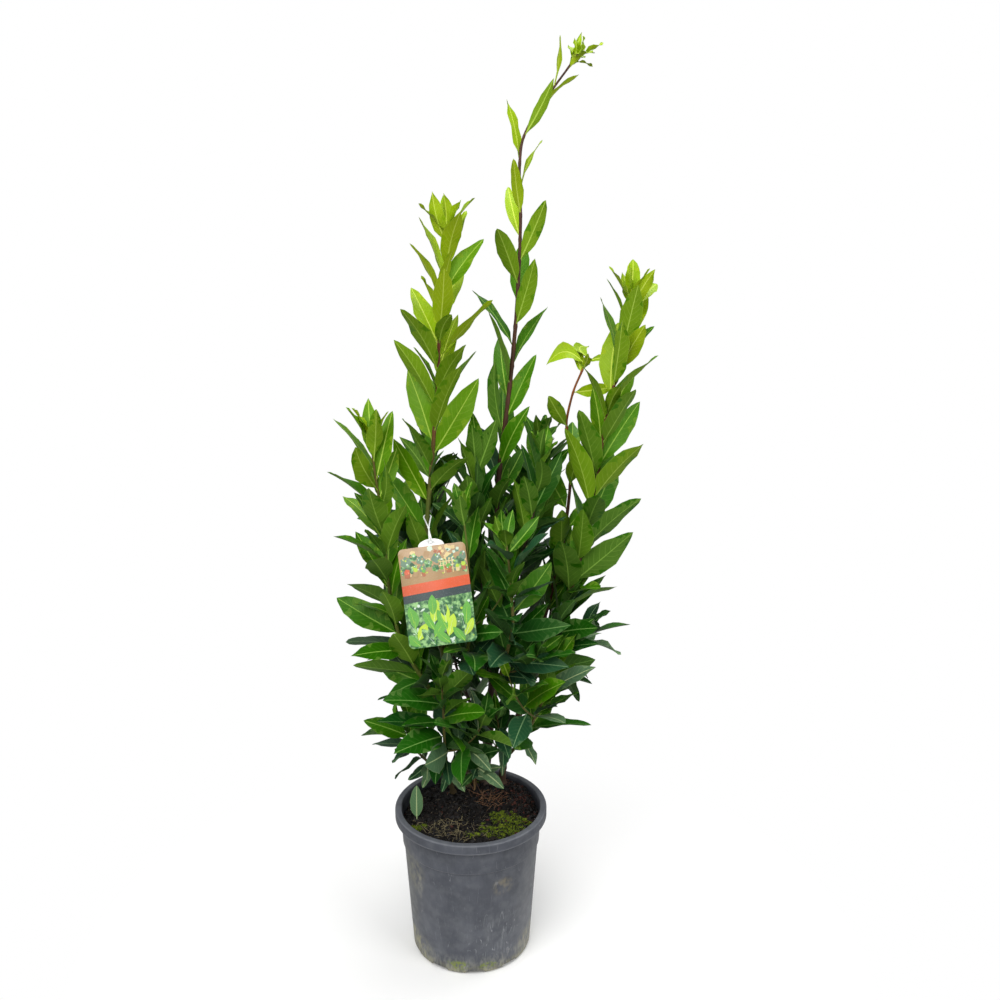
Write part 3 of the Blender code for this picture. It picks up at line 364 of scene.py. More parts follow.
SHOOTS = (
    Shoot("centre", "", 0, ((17, 62, 184), (22, 60, 250), (27, 55, 350), (30, 51, 450), (31, 50, 530),
          (36, 50, 610), (47, 50, 700), (56, 50, 800), (60, 50, 900), (59, 50, 965), (71, 50, 1005),
          (122, 50, 1074)), 470, (5.6, 1.4), (15, 33), (88, 90, 50), (36, 17), 0, 6594),
    Shoot("left", "", 0, ((-10, 52, 184), (-10, 40, 245), (-22, 14, 340), (-43, 2, 440), (-50, 0, 530),
          (-42, 0, 630), (-34, 0, 720), (-31, 0, 780), (-23, 2, 845), (-21, 3, 890)), 365, (5.0, 1.5),
          (14, 14), (82, 98, 75), (46, 22), 0, 262),
    Shoot("right", "", 0, ((39, 56, 184), (44, 50, 235), (72, 36, 325), (104, 30, 410), (130, 30, 490),
          (150, 30, 590), (162, 30, 680), (177, 30, 745), (186, 30, 815)), 330, (4.8, 1.4), (13, 14),
          (82, 98, 72), (39, 18), 0, 6600),
    Shoot("low_left", "", 0, ((-24, 36, 184), (-29, 12, 225), (-31, -18, 275), (-31, -30, 325),
          (-33, -34, 375)), 236, (3.2, 1.2), (8, 10), (84, 90, 68), (81, 43), 1, 2308),
    Shoot("low_outer_left", "low_left", 212, ((-50, 10, 238), (-67, 2, 262), (-80, -2, 292)), 240,
          (2.4, 1.2), (8, 11), (74, 79, 72), (66, 43), 0, 6337),
    Shoot("foot", "left", 206, ((-2, 24, 217), (4, 8, 228), (8, -6, 244)), 219, (2.2, 1.2), (8, 13),
          (70, 71, 57), (96, 76), 0, 3163),
    Shoot("low_front", "centre", 222, ((30, 34, 248), (36, 8, 278), (32, -12, 318)), 250, (2.6, 1.2),
          (8, 9), (74, 70, 67), (95, 46), 1, 9781),
    Shoot("outer_left", "left", 262, ((-30, -4, 312), (-54, -16, 362), (-80, -22, 415), (-94, -22, 490),
          (-97, -22, 555), (-104, -22, 605), (-109, -22, 655)), 330, (3.2, 1.3), (11, 11), (82, 88, 72),
          (52, 20), 1, 2755),
    Shoot("inner_right", "right", 300, ((80, 54, 370), (104, 62, 460), (117, 62, 530), (123, 62, 605),
          (117, 62, 667), (124, 62, 700), (141, 60, 742)), 400, (3.4, 1.6), (15, 52), (80, 72, 50),
          (31, 46), 0, 5232),
    Shoot("front", "centre", 290, ((32, 14, 335), (41, -14, 385), (51, -28, 435), (49, -30, 490),
          (43, -30, 545)), 345, (3.2, 1.3), (8, 10), (78, 81, 63), (67, 39), 2, 7383),
    Shoot("front_left", "left", 310, ((-8, -14, 370), (2, -26, 440), (0, -30, 520), (-6, -30, 575)), 375,
          (3.0, 1.3), (11, 15), (78, 86, 62), (59, 27), 1, 3979),
    Shoot("low_right", "right", 225, ((56, 18, 258), (74, -8, 300), (90, -18, 345), (100, -22, 392)), 272,
          (2.8, 1.2), (11, 13), (76, 83, 61), (63, 34), 2, 3952),
    Shoot("crown_left", "centre", 390, ((18, 36, 450), (8, 28, 520), (6, 26, 585), (9, 26, 630)), 440,
          (3.0, 1.3), (8, 10), (74, 80, 71), (45, 17), 1, 80),
    Shoot("crown_right", "centre", 420, ((50, 38, 475), (70, 28, 530), (80, 24, 585), (84, 24, 628)), 464,
          (3.0, 1.3), (10, 10), (80, 82, 67), (46, 21), 1, 2664),
    Shoot("back_left", "left", 335, ((-34, 46, 395), (-44, 74, 470), (-50, 88, 550), (-50, 94, 620)), 395,
          (3.2, 1.3), (17, 18), (82, 84, 66), (52, 28), 2, 121),
    Shoot("back_right", "centre", 330, ((50, 88, 400), (70, 110, 480), (82, 120, 560), (88, 124, 630)), 396,
          (3.2, 1.3), (17, 18), (82, 84, 66), (52, 28), 2, 131),
    Shoot("low_back_left", "centre", 228, ((4, 88, 268), (-18, 108, 315), (-30, 116, 368), (-34, 120, 412)),
          275, (2.8, 1.2), (15, 16), (82, 78, 62), (72, 36), 2, 141),
    Shoot("low_back_right", "right", 260, ((66, 72, 300), (86, 94, 345), (100, 106, 390), (106, 112, 432)),
          305, (2.8, 1.2), (15, 16), (82, 78, 62), (66, 34), 2, 151),
)


# The plant's growth, as its solids have it


def arc(x, z, radius, start, end, pieces):
    """Points on an arc round (x, z), from one angle to another in degrees."""
    angles = [math.radians(start + (end - start) * k / pieces) for k in range(pieces + 1)]
    return [(x + radius * math.cos(a), z + radius * math.sin(a)) for a in angles]


def loft(bm, rings, foot=None, tip=None):
    """Joins rings of points into one closed skin of triangles. An end is flat where it has no point."""
    loops = [[bm.verts.new(point) for point in ring] for ring in rings]
    count = len(loops[0])
    for low, high in zip(loops, loops[1:]):
        for i in range(count):
            j = (i + 1) % count
            bm.faces.new((low[i], low[j], high[j]))
            bm.faces.new((low[i], high[j], high[i]))
    if foot is None:
        bm.faces.new(loops[0][::-1])
    else:
        start = bm.verts.new(foot)
        for i in range(count):
            bm.faces.new((loops[0][(i + 1) % count], loops[0][i], start))
    if tip is None:
        bm.faces.new(loops[-1])
    else:
        end = bm.verts.new(tip)
        for i in range(count):
            bm.faces.new((loops[-1][i], loops[-1][(i + 1) % count], end))


def smooth_path(knots, step=PATH_STEP):
    """Points about a step apart on a smooth curve through the knots."""
    knots = [Vector(knot) for knot in knots]
    line = [2 * knots[0] - knots[1], *knots, 2 * knots[-1] - knots[-2]]
    points = [knots[0].copy()]
    for before, start, end, after in zip(line, line[1:], line[2:], line[3:]):
        pieces = max(1, round((end - start).length / step))
        leave, arrive = start + (end - before) / 6, end - (after - start) / 6
        points += interpolate_bezier(start, leave, arrive, end, pieces + 1)[1:]
    return points


def point_at_height(points, height):
    for low, high in zip(points, points[1:]):
        if low.z <= height <= high.z:
            return low.lerp(high, (height - low.z) / (high.z - low.z))
    raise ValueError(f"the path doesn't reach {height}")


def between(ends, share):
    return ends[0] + (ends[1] - ends[0]) * share


def length_of(points):
    return sum((b - a).length for a, b in zip(points, points[1:]))


def tangent_at(points, i):
    return (points[min(i + 1, len(points) - 1)] - points[max(i - 1, 0)]).normalized()


def axes_along(points, level_foot=False, side=Vector((1, 0, 0))):
    """At each point a side, a direction across it and the line's own, with as little turn as can be."""
    for i in range(len(points)):
        tangent = UP if level_foot and i == 0 else tangent_at(points, i)
        side = (side - tangent * side.dot(tangent)).normalized()
        yield side, tangent.cross(side), tangent


def ring_round(centre, radius, side, across, turns):
    return [centre + (math.cos(a) * side + math.sin(a) * across) * radius for a in turns]


def around(count, start=0.0):
    return [math.tau * k / count + start for k in range(count)]


def tube(bm, points, radii, sides):
    """A closed tube along the points."""
    turns = around(sides)
    loft(bm, [ring_round(point, radius, side, across, turns)
              for point, radius, (side, across, _) in zip(points, radii, axes_along(points))])


class Limb(NamedTuple):
    """The worked-out line of a shoot: its bare and its leafy stretch, with the radius at each point."""

    shoot: Shoot
    bare: list
    bare_radii: list
    leafy: list
    leafy_radii: list


def split_at_height(points, height):
    """The points below and above a height, both with a point exactly there."""
    cut = point_at_height(points, height)
    low = [p for p in points if p.z < height - CUT_FREE]
    high = [p for p in points if p.z > height + CUT_FREE]
    return [*low, cut], [cut.copy(), *high]


def radii_along(shoot, points, travelled, whole):
    """The radius at each point. Travelled is the length of path below the first one."""
    start, end = (r * MM for r in shoot.radius)
    radii = []
    for i, point in enumerate(points):
        if i:
            travelled += (point - points[i - 1]).length
        radii.append(start + (end - start) * travelled / whole)
    return radii


def make_limbs():
    """Every shoot's line, by name. A side shoot starts on its parent's own axis."""
    limbs = {}
    for shoot in SHOOTS:
        knots = [[c / 1000 for c in knot] for knot in shoot.knots]
        if shoot.parent:
            knots.insert(0, point_at_height(limbs[shoot.parent].bare, shoot.fork / 1000))
        bare, leafy = split_at_height(smooth_path(knots), shoot.leafy_from / 1000)
        whole = length_of(bare) + length_of(leafy)
        bare_radii = radii_along(shoot, bare, 0.0, whole)
        leafy_radii = radii_along(shoot, leafy, length_of(bare), whole)
        # The foliage's twig starts clear of the bough's flat end.
        leafy[0] = leafy[0] + CLEAR * (leafy[1] - leafy[0]).normalized()
        if not shoot.parent:
            bare[0].z += CLEAR
            bare.insert(1, bare[0].lerp(bare[1], FLARE_HEIGHT / (bare[1].z - bare[0].z)))
            bare_radii.insert(1, bare_radii[0])
            bare_radii[0] *= 1 + FLARE
        limbs[shoot.name] = Limb(shoot, bare, bare_radii, leafy, leafy_radii)
    return limbs


def dense(points):
    """The same line with a point at least every LINE_STEP."""
    found = [points[0]]
    for a, b in zip(points, points[1:]):
        pieces = max(1, math.ceil((b - a).length / LINE_STEP))
        found += [a.lerp(b, k / pieces) for k in range(1, pieces + 1)]
    return found


def point_tree(points):
    tree = KDTree(len(points))
    for i, point in enumerate(points):
        tree.insert(point, i)
    tree.balance()
    return tree


def place_on(points, distance):
    """The point and the direction at a distance along the line."""
    for a, b in zip(points, points[1:]):
        step = (b - a).length
        if distance <= step or b is points[-1]:
            return a.lerp(b, min(distance / step, 1.0)), (b - a).normalized()
        distance -= step
    raise ValueError("the line has no length")


def blend3(low, middle, high, share):
    """From low through middle to high as share goes from 0 to 1."""
    if share < 0.5:
        return low + (middle - low) * share * 2
    return middle + (high - middle) * (share * 2 - 1)


def outward_from(axis, turn):
    """The direction square to the axis that stands at this compass turn."""
    level = Vector((math.cos(turn), math.sin(turn), 0))
    return (level - axis * level.dot(axis)).normalized()


class Twig(NamedTuple):
    points: list
    radii: list
    tip_leaves: int


def side_twig(limb, number, start, draw):
    """One side twig of a mass: out from the main twig, then turning upwards."""
    count = limb.shoot.side_twigs
    low, high = SIDE_TWIG_ZONE
    share = low + (high - low) * (number + draw.uniform(0, SIDE_TWIG_SCATTER)) / count
    root, axis = place_on(limb.leafy, share * length_of(limb.leafy))
    outward = outward_from(axis, start + LEAF_TURN * number + draw.gauss(0, SIDE_TWIG_SWERVE))
    heading = math.cos(SIDE_TWIG_SPLAY) * axis + math.sin(SIDE_TWIG_SPLAY) * outward
    step = draw.uniform(*SIDE_TWIG_LENGTH) / SIDE_TWIG_STEPS
    points = [root]
    for _ in range(SIDE_TWIG_STEPS):
        points.append(points[-1] + step * heading)
        heading = (heading + SIDE_TWIG_LIFT * UP).normalized()
    taper = SIDE_TWIG_TAPER / SIDE_TWIG_STEPS
    radii = [SIDE_TWIG_RADIUS * (1 - taper * k) for k in range(SIDE_TWIG_STEPS + 1)]
    return Twig(points, radii, SIDE_TIP_LEAVES)


def grow_twigs(limbs):
    """Each mass's twigs by name, the main one first. A side twig too near to another mass is left out."""
    draw = random.Random(TWIG_SEED)
    lines = {name: dense(limb.bare) + dense(limb.leafy) for name, limb in limbs.items()}
    twigs = {}
    for name, limb in limbs.items():
        twigs[name] = [Twig(limb.leafy, limb.leafy_radii, TIP_LEAVES)]
        others = point_tree([p for other, line in lines.items() if other != name for p in line])
        own_limb = point_tree(dense(limb.bare[:-1]))
        start = draw.uniform(0, math.tau)
        for number in range(limb.shoot.side_twigs):
            twig = side_twig(limb, number, start, draw)
            outer = dense(twig.points)[2:]
            if all(min(others.find(p)[2], own_limb.find(p)[2]) > TWIG_APART for p in outer):
                twigs[name].append(twig)
                lines[name] += dense(twig.points)
    return twigs


class Leaf(NamedTuple):
    """Where a leaf springs from its twig, its directions there, and its size."""

    root: Vector
    along: Vector  # from stalk to tip
    face: Vector  # out of its upper side
    length: float
    width: float
    bend: float  # how far it has turned away from its upper side by the tip


def leaf_frame(leaf, share):
    """The midrib's point at a share of the length, with the directions out of the leaf and across it."""
    angle = leaf.bend * share
    reach = leaf.length * math.sin(angle) / leaf.bend
    drop = leaf.length * (1 - math.cos(angle)) / leaf.bend
    along = math.cos(angle) * leaf.along - math.sin(angle) * leaf.face
    face = math.cos(angle) * leaf.face + math.sin(angle) * leaf.along
    return leaf.root + reach * leaf.along - drop * leaf.face, face, face.cross(along)


def leaf_rings(leaf):
    """Each station's right edge, left edge and keel."""
    rings = []
    for share, width in LEAF_STATIONS:
        middle, face, across = leaf_frame(leaf, share)
        half = leaf.width * width / 2
        rings.append([middle + half * across, middle - half * across, middle - 2 * half * LEAF_KEEL * face])
    return rings


def leaf_tip(leaf):
    return leaf_frame(leaf, 1.0)[0]


def add_leaf(bm, leaf):
    """The blade as a folded keel between two edges, from a point at its root to a point at its tip."""
    loft(bm, leaf_rings(leaf), foot=leaf.root, tip=leaf_tip(leaf))


def tree_of(bm):
    tree = BVHTree.FromBMesh(bm)
    bm.free()
    return tree


def with_margin(leaf):
    """A tree of the leaf, a little wider, with a copy of it on each side."""
    bm = bmesh.new()
    for shift in (-LEAF_MARGIN, 0, LEAF_MARGIN):
        add_leaf(bm, leaf._replace(root=leaf.root + shift * leaf.face, width=leaf.width + 2 * LEAF_MARGIN))
    return tree_of(bm)


def outer_parts(leaves):
    """A tree of the leaves without their narrow stretch next to the twig."""
    bm = bmesh.new()
    for leaf in leaves:
        loft(bm, leaf_rings(leaf), tip=leaf_tip(leaf))
    return tree_of(bm)


class Spaces:
    """Which space belongs to which mass, and what is already in it."""

    def __init__(self, twigs, keep_out):
        lines = {name: [p for twig in group for p in dense(twig.points)] for name, group in twigs.items()}
        self.own = {name: point_tree(line) for name, line in lines.items()}
        self.others = {}
        self.twigs = {}
        for name, group in twigs.items():
            foreign = [p for other, line in lines.items() if other != name for p in line]
            self.others[name] = point_tree(foreign)
            bm = bmesh.new()
            for twig in group:
                tube(bm, twig.points, [r + LIMB_MARGIN for r in twig.radii], TWIG_SIDES + 2)
            self.twigs[name] = tree_of(bm)
        self.filled = [keep_out]

    def fits(self, name, leaf, neighbours):
        """Whether a leaf keeps to its mass's space and touches neither another leaf nor anything else."""
        points = [p for ring in leaf_rings(leaf) for p in ring] + [leaf_tip(leaf)]
        own, others = self.own[name], self.others[name]
        if not all(own.find(p)[2] < others.find(p)[2] + SPACE_SHARED for p in points):
            return False
        wide = with_margin(leaf)
        foreign = self.filled + [tree for other, tree in self.twigs.items() if other != name]
        if any(wide.overlap(tree) for tree in foreign):
            return False
        return not outer_parts([leaf]).overlap(neighbours)

    def fill(self, leaves):
        """Takes up the space of a mass that is finished."""
        bm = bmesh.new()
        for leaf in leaves:
            add_leaf(bm, leaf)
        self.filled.append(tree_of(bm))


def leaf_places(shoot, twig):
    """Distances along the twig where leaves spring, from the lowest up, and crowded at the tip."""
    length = length_of(twig.points)
    crowded = twig.tip_leaves * TIP_GAP
    low, high = shoot.gap
    places = []
    distance = FIRST_LEAF
    while distance < length - crowded:
        places.append(distance)
        distance += MM * (low + (high - low) * distance / length)
    return places + [length - crowded + TIP_GAP * (k + TIP_START) for k in range(twig.tip_leaves)]


def leaf_directions(axis, turn, angle, roll):
    """Along a leaf and out of its upper side, which is turned from its twig part of the way to the sky."""
    outward = outward_from(axis, turn)
    along = math.cos(angle) * axis + math.sin(angle) * outward
    inner = math.sin(angle) * axis - math.cos(angle) * outward
    sky = UP - along * along.z
    face = (inner * (1 - LEAF_SKY) + sky * LEAF_SKY).normalized()
    return along, Matrix.Rotation(roll, 3, along) @ face


def leaf_tries(shoot, twig, distance, to_tip, turn, draw):
    """One leaf's tries at a place on its twig: to one side and the other, and then nearer to the twig.

    The leaf is to_tip places from the end of the twig, and small where it is one of the last.
    """
    share = distance / length_of(twig.points)
    grown = TIP_LEAF_SHARE + (1 - TIP_LEAF_SHARE) * min(1.0, to_tip / (twig.tip_leaves + 1))
    size = MM * blend3(*shoot.leaf, share) * draw.uniform(*LEAF_SIZES) * grown
    splay = math.radians(between(shoot.splay, share) + draw.gauss(0, LEAF_SPLAY_SPREAD)) * grown
    roll = math.radians(draw.gauss(0, LEAF_ROLL))
    bend = math.radians(draw.uniform(*LEAF_BENDS))
    slender = 1 + (SLENDER.get(shoot.name, 1) - 1) * share
    width = LEAF_WIDTH * slender * draw.uniform(*LEAF_WIDTHS)
    root, axis = place_on(twig.points, distance)
    for number in range(TRIES):
        eased, side = divmod(number, len(SWAYS))
        ease = 1 - EASE * eased
        along, face = leaf_directions(axis, turn + SWAYS[side], splay * ease, roll * ease)
        long = size * (1 - SHRINK * eased)
        yield Leaf(root, along, face, long, long * width, bend * ease)


def grow_leaves(limb, twigs, spaces):
    """The leaves of one mass, by the shoot's own numbers and seed. One that fits at no try is left out."""
    shoot = limb.shoot
    leaves = []
    for number, twig in enumerate(twigs):
        draw = random.Random(shoot.seed * 100 + number)
        turn = draw.uniform(0, math.tau)
        places = leaf_places(shoot, twig)
        for i, distance in enumerate(places):
            turn += LEAF_TURN + draw.gauss(0, LEAF_TURN_SPREAD)
            neighbours = outer_parts(leaves)
            for leaf in leaf_tries(shoot, twig, distance, len(places) - i, turn, draw):
                if spaces.fits(shoot.name, leaf, neighbours):
                    leaves.append(leaf)
                    break
    spaces.fill(leaves)
    return leaves


def soil_reach(height):
    """Radius of the compost at a height, clear of the flat facets of the pot's wall."""
    steps = ((BASE_ROUNDING + FLOOR, BASE_RADIUS), (BAND_FOOT, BODY_TOP_RADIUS), (BAND_HEIGHT, BAND_RADIUS),
             (MOUTH_FOOT, NECK_RADIUS))
    for (z0, r0), (z1, r1) in zip(steps, steps[1:]):
        if height <= z1:
            wall = r0 + (r1 - r0) * (height - z0) / (z1 - z0) - WALL
            return wall * math.cos(math.pi / POT_SEGMENTS) - CLEAR
    raise ValueError(f"the compost doesn't reach {height}")


def soil_height(x, y):
    """Level under the stems, then down to the edge, with a few low bumps on the way."""
    away = math.hypot(x - PLANT_CENTRE.x, y - PLANT_CENTRE.y) - SOIL_SEAT_RADIUS
    if away <= 0:
        return SOIL_SEAT
    slope = min(away / SOIL_SLOPE, 1.0)
    bump = SOIL_BUMP * math.sin(90 * x + 1) * math.cos(120 * y)
    return SOIL_SEAT - (SOIL_SEAT - SOIL_EDGE) * slope * slope * (3 - 2 * slope) + bump * slope


def fallen_leaf():
    """The dropped leaf's measures: upright on the compost with its upper side to the front."""
    foot = FALLEN_AT + Vector((0, 0, soil_height(FALLEN_AT.x, FALLEN_AT.y) + CLEAR))
    return Leaf(foot, Vector((0, 0, 1)), Vector((0, -1, 0)), FALLEN_LENGTH, FALLEN_WIDTH, FALLEN_BEND)


def card_place():
    """Where the card hangs: its hole is the origin of its own flat frame, X across and Z up."""
    turn = Matrix.Rotation(CARD_TURN, 4, "Y")
    lean = Matrix.Rotation(CARD_LEAN, 4, "X")
    return Matrix.Translation(CARD_HOLE_AT) @ lean @ turn


def strap_line(limb):
    """The strap's loop round the shoot, as a ring of points, and the line of its neck down to the card."""
    centre = point_at_height(limb.leafy, STRAP_HEIGHT)
    tilt = Matrix.Rotation(STRAP_TILT, 4, "X")
    level = arc(0, 0, STRAP_LOOP, -90, 270, STRAP_POINTS)[:-1]
    ring = [centre + tilt @ Vector((x, y, 0)) for x, y in level]
    end = Vector((0, -CARD_THICKNESS / 2 - STRAP_BEFORE_CARD, 0))
    over_tab = end + Vector((0, STRAP_RADIUS, TAB_HEIGHT))
    return ring, smooth_path([ring[0], card_place() @ over_tab, card_place() @ end])


def make_keep_out(limbs):
    """One tree of what leaves stay clear of: limbs, the pot and its compost, and the label on its strap."""
    bm = bmesh.new()
    for limb in limbs.values():
        grown = [r + LIMB_MARGIN for r in limb.bare_radii]
        back = (limb.bare[-2] - limb.bare[-1]).normalized()
        tube(bm, [*limb.bare[:-1], limb.bare[-1] + LIMB_END_FREE * back], grown, BOUGH_SIDES)
    pot = [Vector((0, 0, z)) for z in (0, SOIL_SEAT + GROUND_MARGIN)]
    tube(bm, pot, [BASE_RADIUS, RIM_RADIUS + GROUND_MARGIN], SOIL_SEGMENTS)
    mouth = [Vector((0, 0, z)) for z in (SOIL_SEAT, POT_HEIGHT + GROUND_MARGIN)]
    tube(bm, mouth, [RIM_MOUTH - GROUND_MARGIN] * 2, SOIL_SEGMENTS)
    high = CARD_HEIGHT + TAB_HEIGHT + 2 * CARD_MARGIN
    spread = Matrix.Diagonal((CARD_WIDTH + 2 * CARD_MARGIN, CARD_FREE, high, 1))
    centre = Matrix.Translation((0, CARD_MARGIN - CARD_FREE / 2, -CARD_HEIGHT / 2))
    bmesh.ops.create_cube(bm, size=1, matrix=card_place() @ centre @ spread)
    ring, neck = strap_line(limbs["left"])
    loop_centre = Matrix.Translation(sum(ring, Vector()) / len(ring))
    bmesh.ops.create_icosphere(bm, subdivisions=1, radius=STRAP_LOOP + LOOP_MARGIN, matrix=loop_centre)
    tube(bm, neck, [STRAP_RADIUS + CARD_MARGIN] * len(neck), BOUGH_SIDES)
    dropped = fallen_leaf()
    tube(bm, [dropped.root, leaf_tip(dropped)], [dropped.width] * 2, BOUGH_SIDES)
    return tree_of(bm)


# Materials and pieces


def linear(code):
    """An sRGB hex colour as linear RGBA."""
    channels = [int(code[i:i + 2], 16) / 255 for i in (1, 3, 5)]
    return (*[c / 12.92 if c <= 0.04045 else ((c + 0.055) / 1.055) ** 2.4 for c in channels], 1.0)


def add_node(tree, kind, settings=None, inputs=None):
    """A node with its settings. An input is given as a value, or as the socket that feeds it."""
    node = tree.nodes.new(kind)
    for name, value in (settings or {}).items():
        setattr(node, name, value)
    for key, value in (inputs or {}).items():
        if isinstance(value, bpy.types.NodeSocket):
            tree.links.new(value, node.inputs[key])
        else:
            node.inputs[key].default_value = value
    return node


def new_material(name, colour, roughness, sockets=None):
    """A material with one principled shader. Gives back its tree and that shader."""
    made = bpy.data.materials.new(name)
    made.use_nodes = True
    shader = made.node_tree.nodes["Principled BSDF"]
    shader.inputs["Base Color"].default_value = linear(colour)
    shader.inputs["Roughness"].default_value = roughness
    for key, value in (sockets or {}).items():
        shader.inputs[key].default_value = value
    return made.node_tree, shader


def lay(tree, shader, masks, colour, share=1.0):
    """Lays a share of a colour over what the shader has so far, where every mask is 1."""
    base = shader.inputs["Base Color"]
    below = base.links[0].from_socket if base.links else tuple(base.default_value)
    for mask in masks:
        share = add_node(tree, "ShaderNodeMath", {"operation": "MULTIPLY"}, {0: mask, 1: share}).outputs[0]
    mixed = add_node(tree, "ShaderNodeMix", {"data_type": "RGBA"}, {0: share, 6: below, 7: linear(colour)})
    tree.links.new(mixed.outputs[2], base)


def relief(tree, shader, height, depth):
    """Adds a height in metres to the shader's surface, over any it already has."""
    normal = shader.inputs["Normal"]
    inputs = {"Height": height, "Distance": depth, "Strength": 1.0}
    if normal.links:
        inputs["Normal"] = normal.links[0].from_socket
    tree.links.new(add_node(tree, "ShaderNodeBump", None, inputs).outputs["Normal"], normal)


def clouds(tree, size, span=(0.0, 1.0), to=(0.0, 1.0), stretch=(1, 1, 1), turn=(0, 0, 0), detail=2.0):
    """Soft patches with features of a real size in metres, longer along an axis by its stretch.

    Their values go from one end of `to` to the other as the noise goes through the span.
    """
    where = add_node(tree, "ShaderNodeTexCoord").outputs["Object"]
    inputs = {"Vector": where, "Rotation": turn, "Scale": [1 / (size * s) for s in stretch]}
    turned = add_node(tree, "ShaderNodeMapping", {"vector_type": "POINT"}, inputs).outputs[0]
    inputs = {"Vector": turned, "Scale": 1.0, "Detail": detail}
    value = add_node(tree, "ShaderNodeTexNoise", None, inputs).outputs[0]
    inputs = {"Value": value, "From Min": span[0], "From Max": span[1], "To Min": to[0], "To Max": to[1]}
    return add_node(tree, "ShaderNodeMapRange", None, inputs).outputs[0]


def by_height(tree, start, end):
    """0 up to the one height and 1 beyond the other."""
    where = add_node(tree, "ShaderNodeTexCoord").outputs["Object"]
    height = add_node(tree, "ShaderNodeSeparateXYZ", None, {0: where}).outputs["Z"]
    inputs = {"Value": height, "From Min": start, "From Max": end}
    return add_node(tree, "ShaderNodeMapRange", None, inputs).outputs[0]


def patch(tree, centre, reach):
    """1 at the centre, falling to 0 at the reach along each axis."""
    where = add_node(tree, "ShaderNodeTexCoord").outputs["Object"]
    inputs = {"Vector": where, "Location": [-c / r for c, r in zip(centre, reach)],
              "Scale": [1 / r for r in reach]}
    local = add_node(tree, "ShaderNodeMapping", {"vector_type": "POINT"}, inputs).outputs[0]
    away = add_node(tree, "ShaderNodeVectorMath", {"operation": "LENGTH"}, {0: local}).outputs["Value"]
    inputs = {"Value": away, "From Min": 0.4, "From Max": 1.0, "To Min": 1.0, "To Max": 0.0}
    return add_node(tree, "ShaderNodeMapRange", {"interpolation_type": "SMOOTHSTEP"}, inputs).outputs[0]


def show(obj, slot, *nodes):
    """Finishes a piece: it rides on the body and stands for its nodes. Its slot is not used."""
    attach(obj, BODY)
    if nodes:
        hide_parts(*nodes)
    return obj


def piece_of(name, bm, materials, sharp=math.radians(40)):
    """An object at the origin from a bmesh, smooth but for its sharp edges."""
    mesh = bpy.data.meshes.new(name)
    bm.to_mesh(mesh)
    bm.free()
    return dress(name, mesh, materials, sharp)


def dress(name, mesh, materials, sharp):
    for material in materials:
        mesh.materials.append(bpy.data.materials[material])
    mesh.shade_smooth()
    mesh.set_sharp_from_angle(angle=sharp)
    obj = bpy.data.objects.new(name, mesh)
    bpy.context.scene.collection.objects.link(obj)
    return obj


class Batch:
    """Many small things gathered into one mesh."""

    def __init__(self):
        self.points = []
        self.faces = []
        self.picks = []
        self.flat = []
        self.values = []

    def add(self, points, faces, picks, flat=None, value=0.0):
        start = len(self.points)
        self.points += points
        self.faces += [[start + i for i in face] for face in faces]
        self.picks += picks
        self.flat += flat or [(0.5, 0.5)] * len(points)
        self.values += [value] * len(points)

    def piece(self, name, materials, sharp=math.radians(50)):
        mesh = bpy.data.meshes.new(name)
        mesh.from_pydata(self.points, [], self.faces)
        mesh.polygons.foreach_set("material_index", self.picks)
        layer = mesh.uv_layers.new(name="blade")
        corners = [0] * len(mesh.loops)
        mesh.loops.foreach_get("vertex_index", corners)
        layer.data.foreach_set("uv", [c for i in corners for c in self.flat[i]])
        tone = mesh.attributes.new("tone", "FLOAT", "POINT")
        tone.data.foreach_set("value", self.values)
        return dress(name, mesh, materials, sharp)


# Laurel leaves: living, leathery leaf with a waxed upper side, which gives broad soft highlights over a
# fresh green, a paler matt underside, a pale midrib, faint slanting side veins and a thin pale edge.
LEAF_COLOURS = {  # upper side, its lighter patches, underside, midrib
    "tip": ("#7C9E00", "#96B400", "#96AE14", "#C2D256"),
    "young": ("#4E7E00", "#608E00", "#749618", "#A8C44E"),
    "fresh": ("#376E00", "#467E00", "#628820", "#92B648"),
    "grown": ("#245A00", "#336C00", "#527824", "#84AC46"),
    "old": ("#134C04", "#22600C", "#466C2C", "#74A04E"),
    "dark": ("#073A0A", "#124A10", "#3D6130", "#648C4C"),
    "glaucous": ("#183E26", "#265434", "#466644", "#789A6A"),
    "dropped": ("#4C6C4E", "#628458", "#6C8860", "#B2C28C"),
    "dry": ("#55402A", "#6E5438", "#66503A", "#8A7050"),
}
LEAF_KINDS = list(LEAF_COLOURS)
LEAF_PARTS = ("blade", "underside", "midrib")


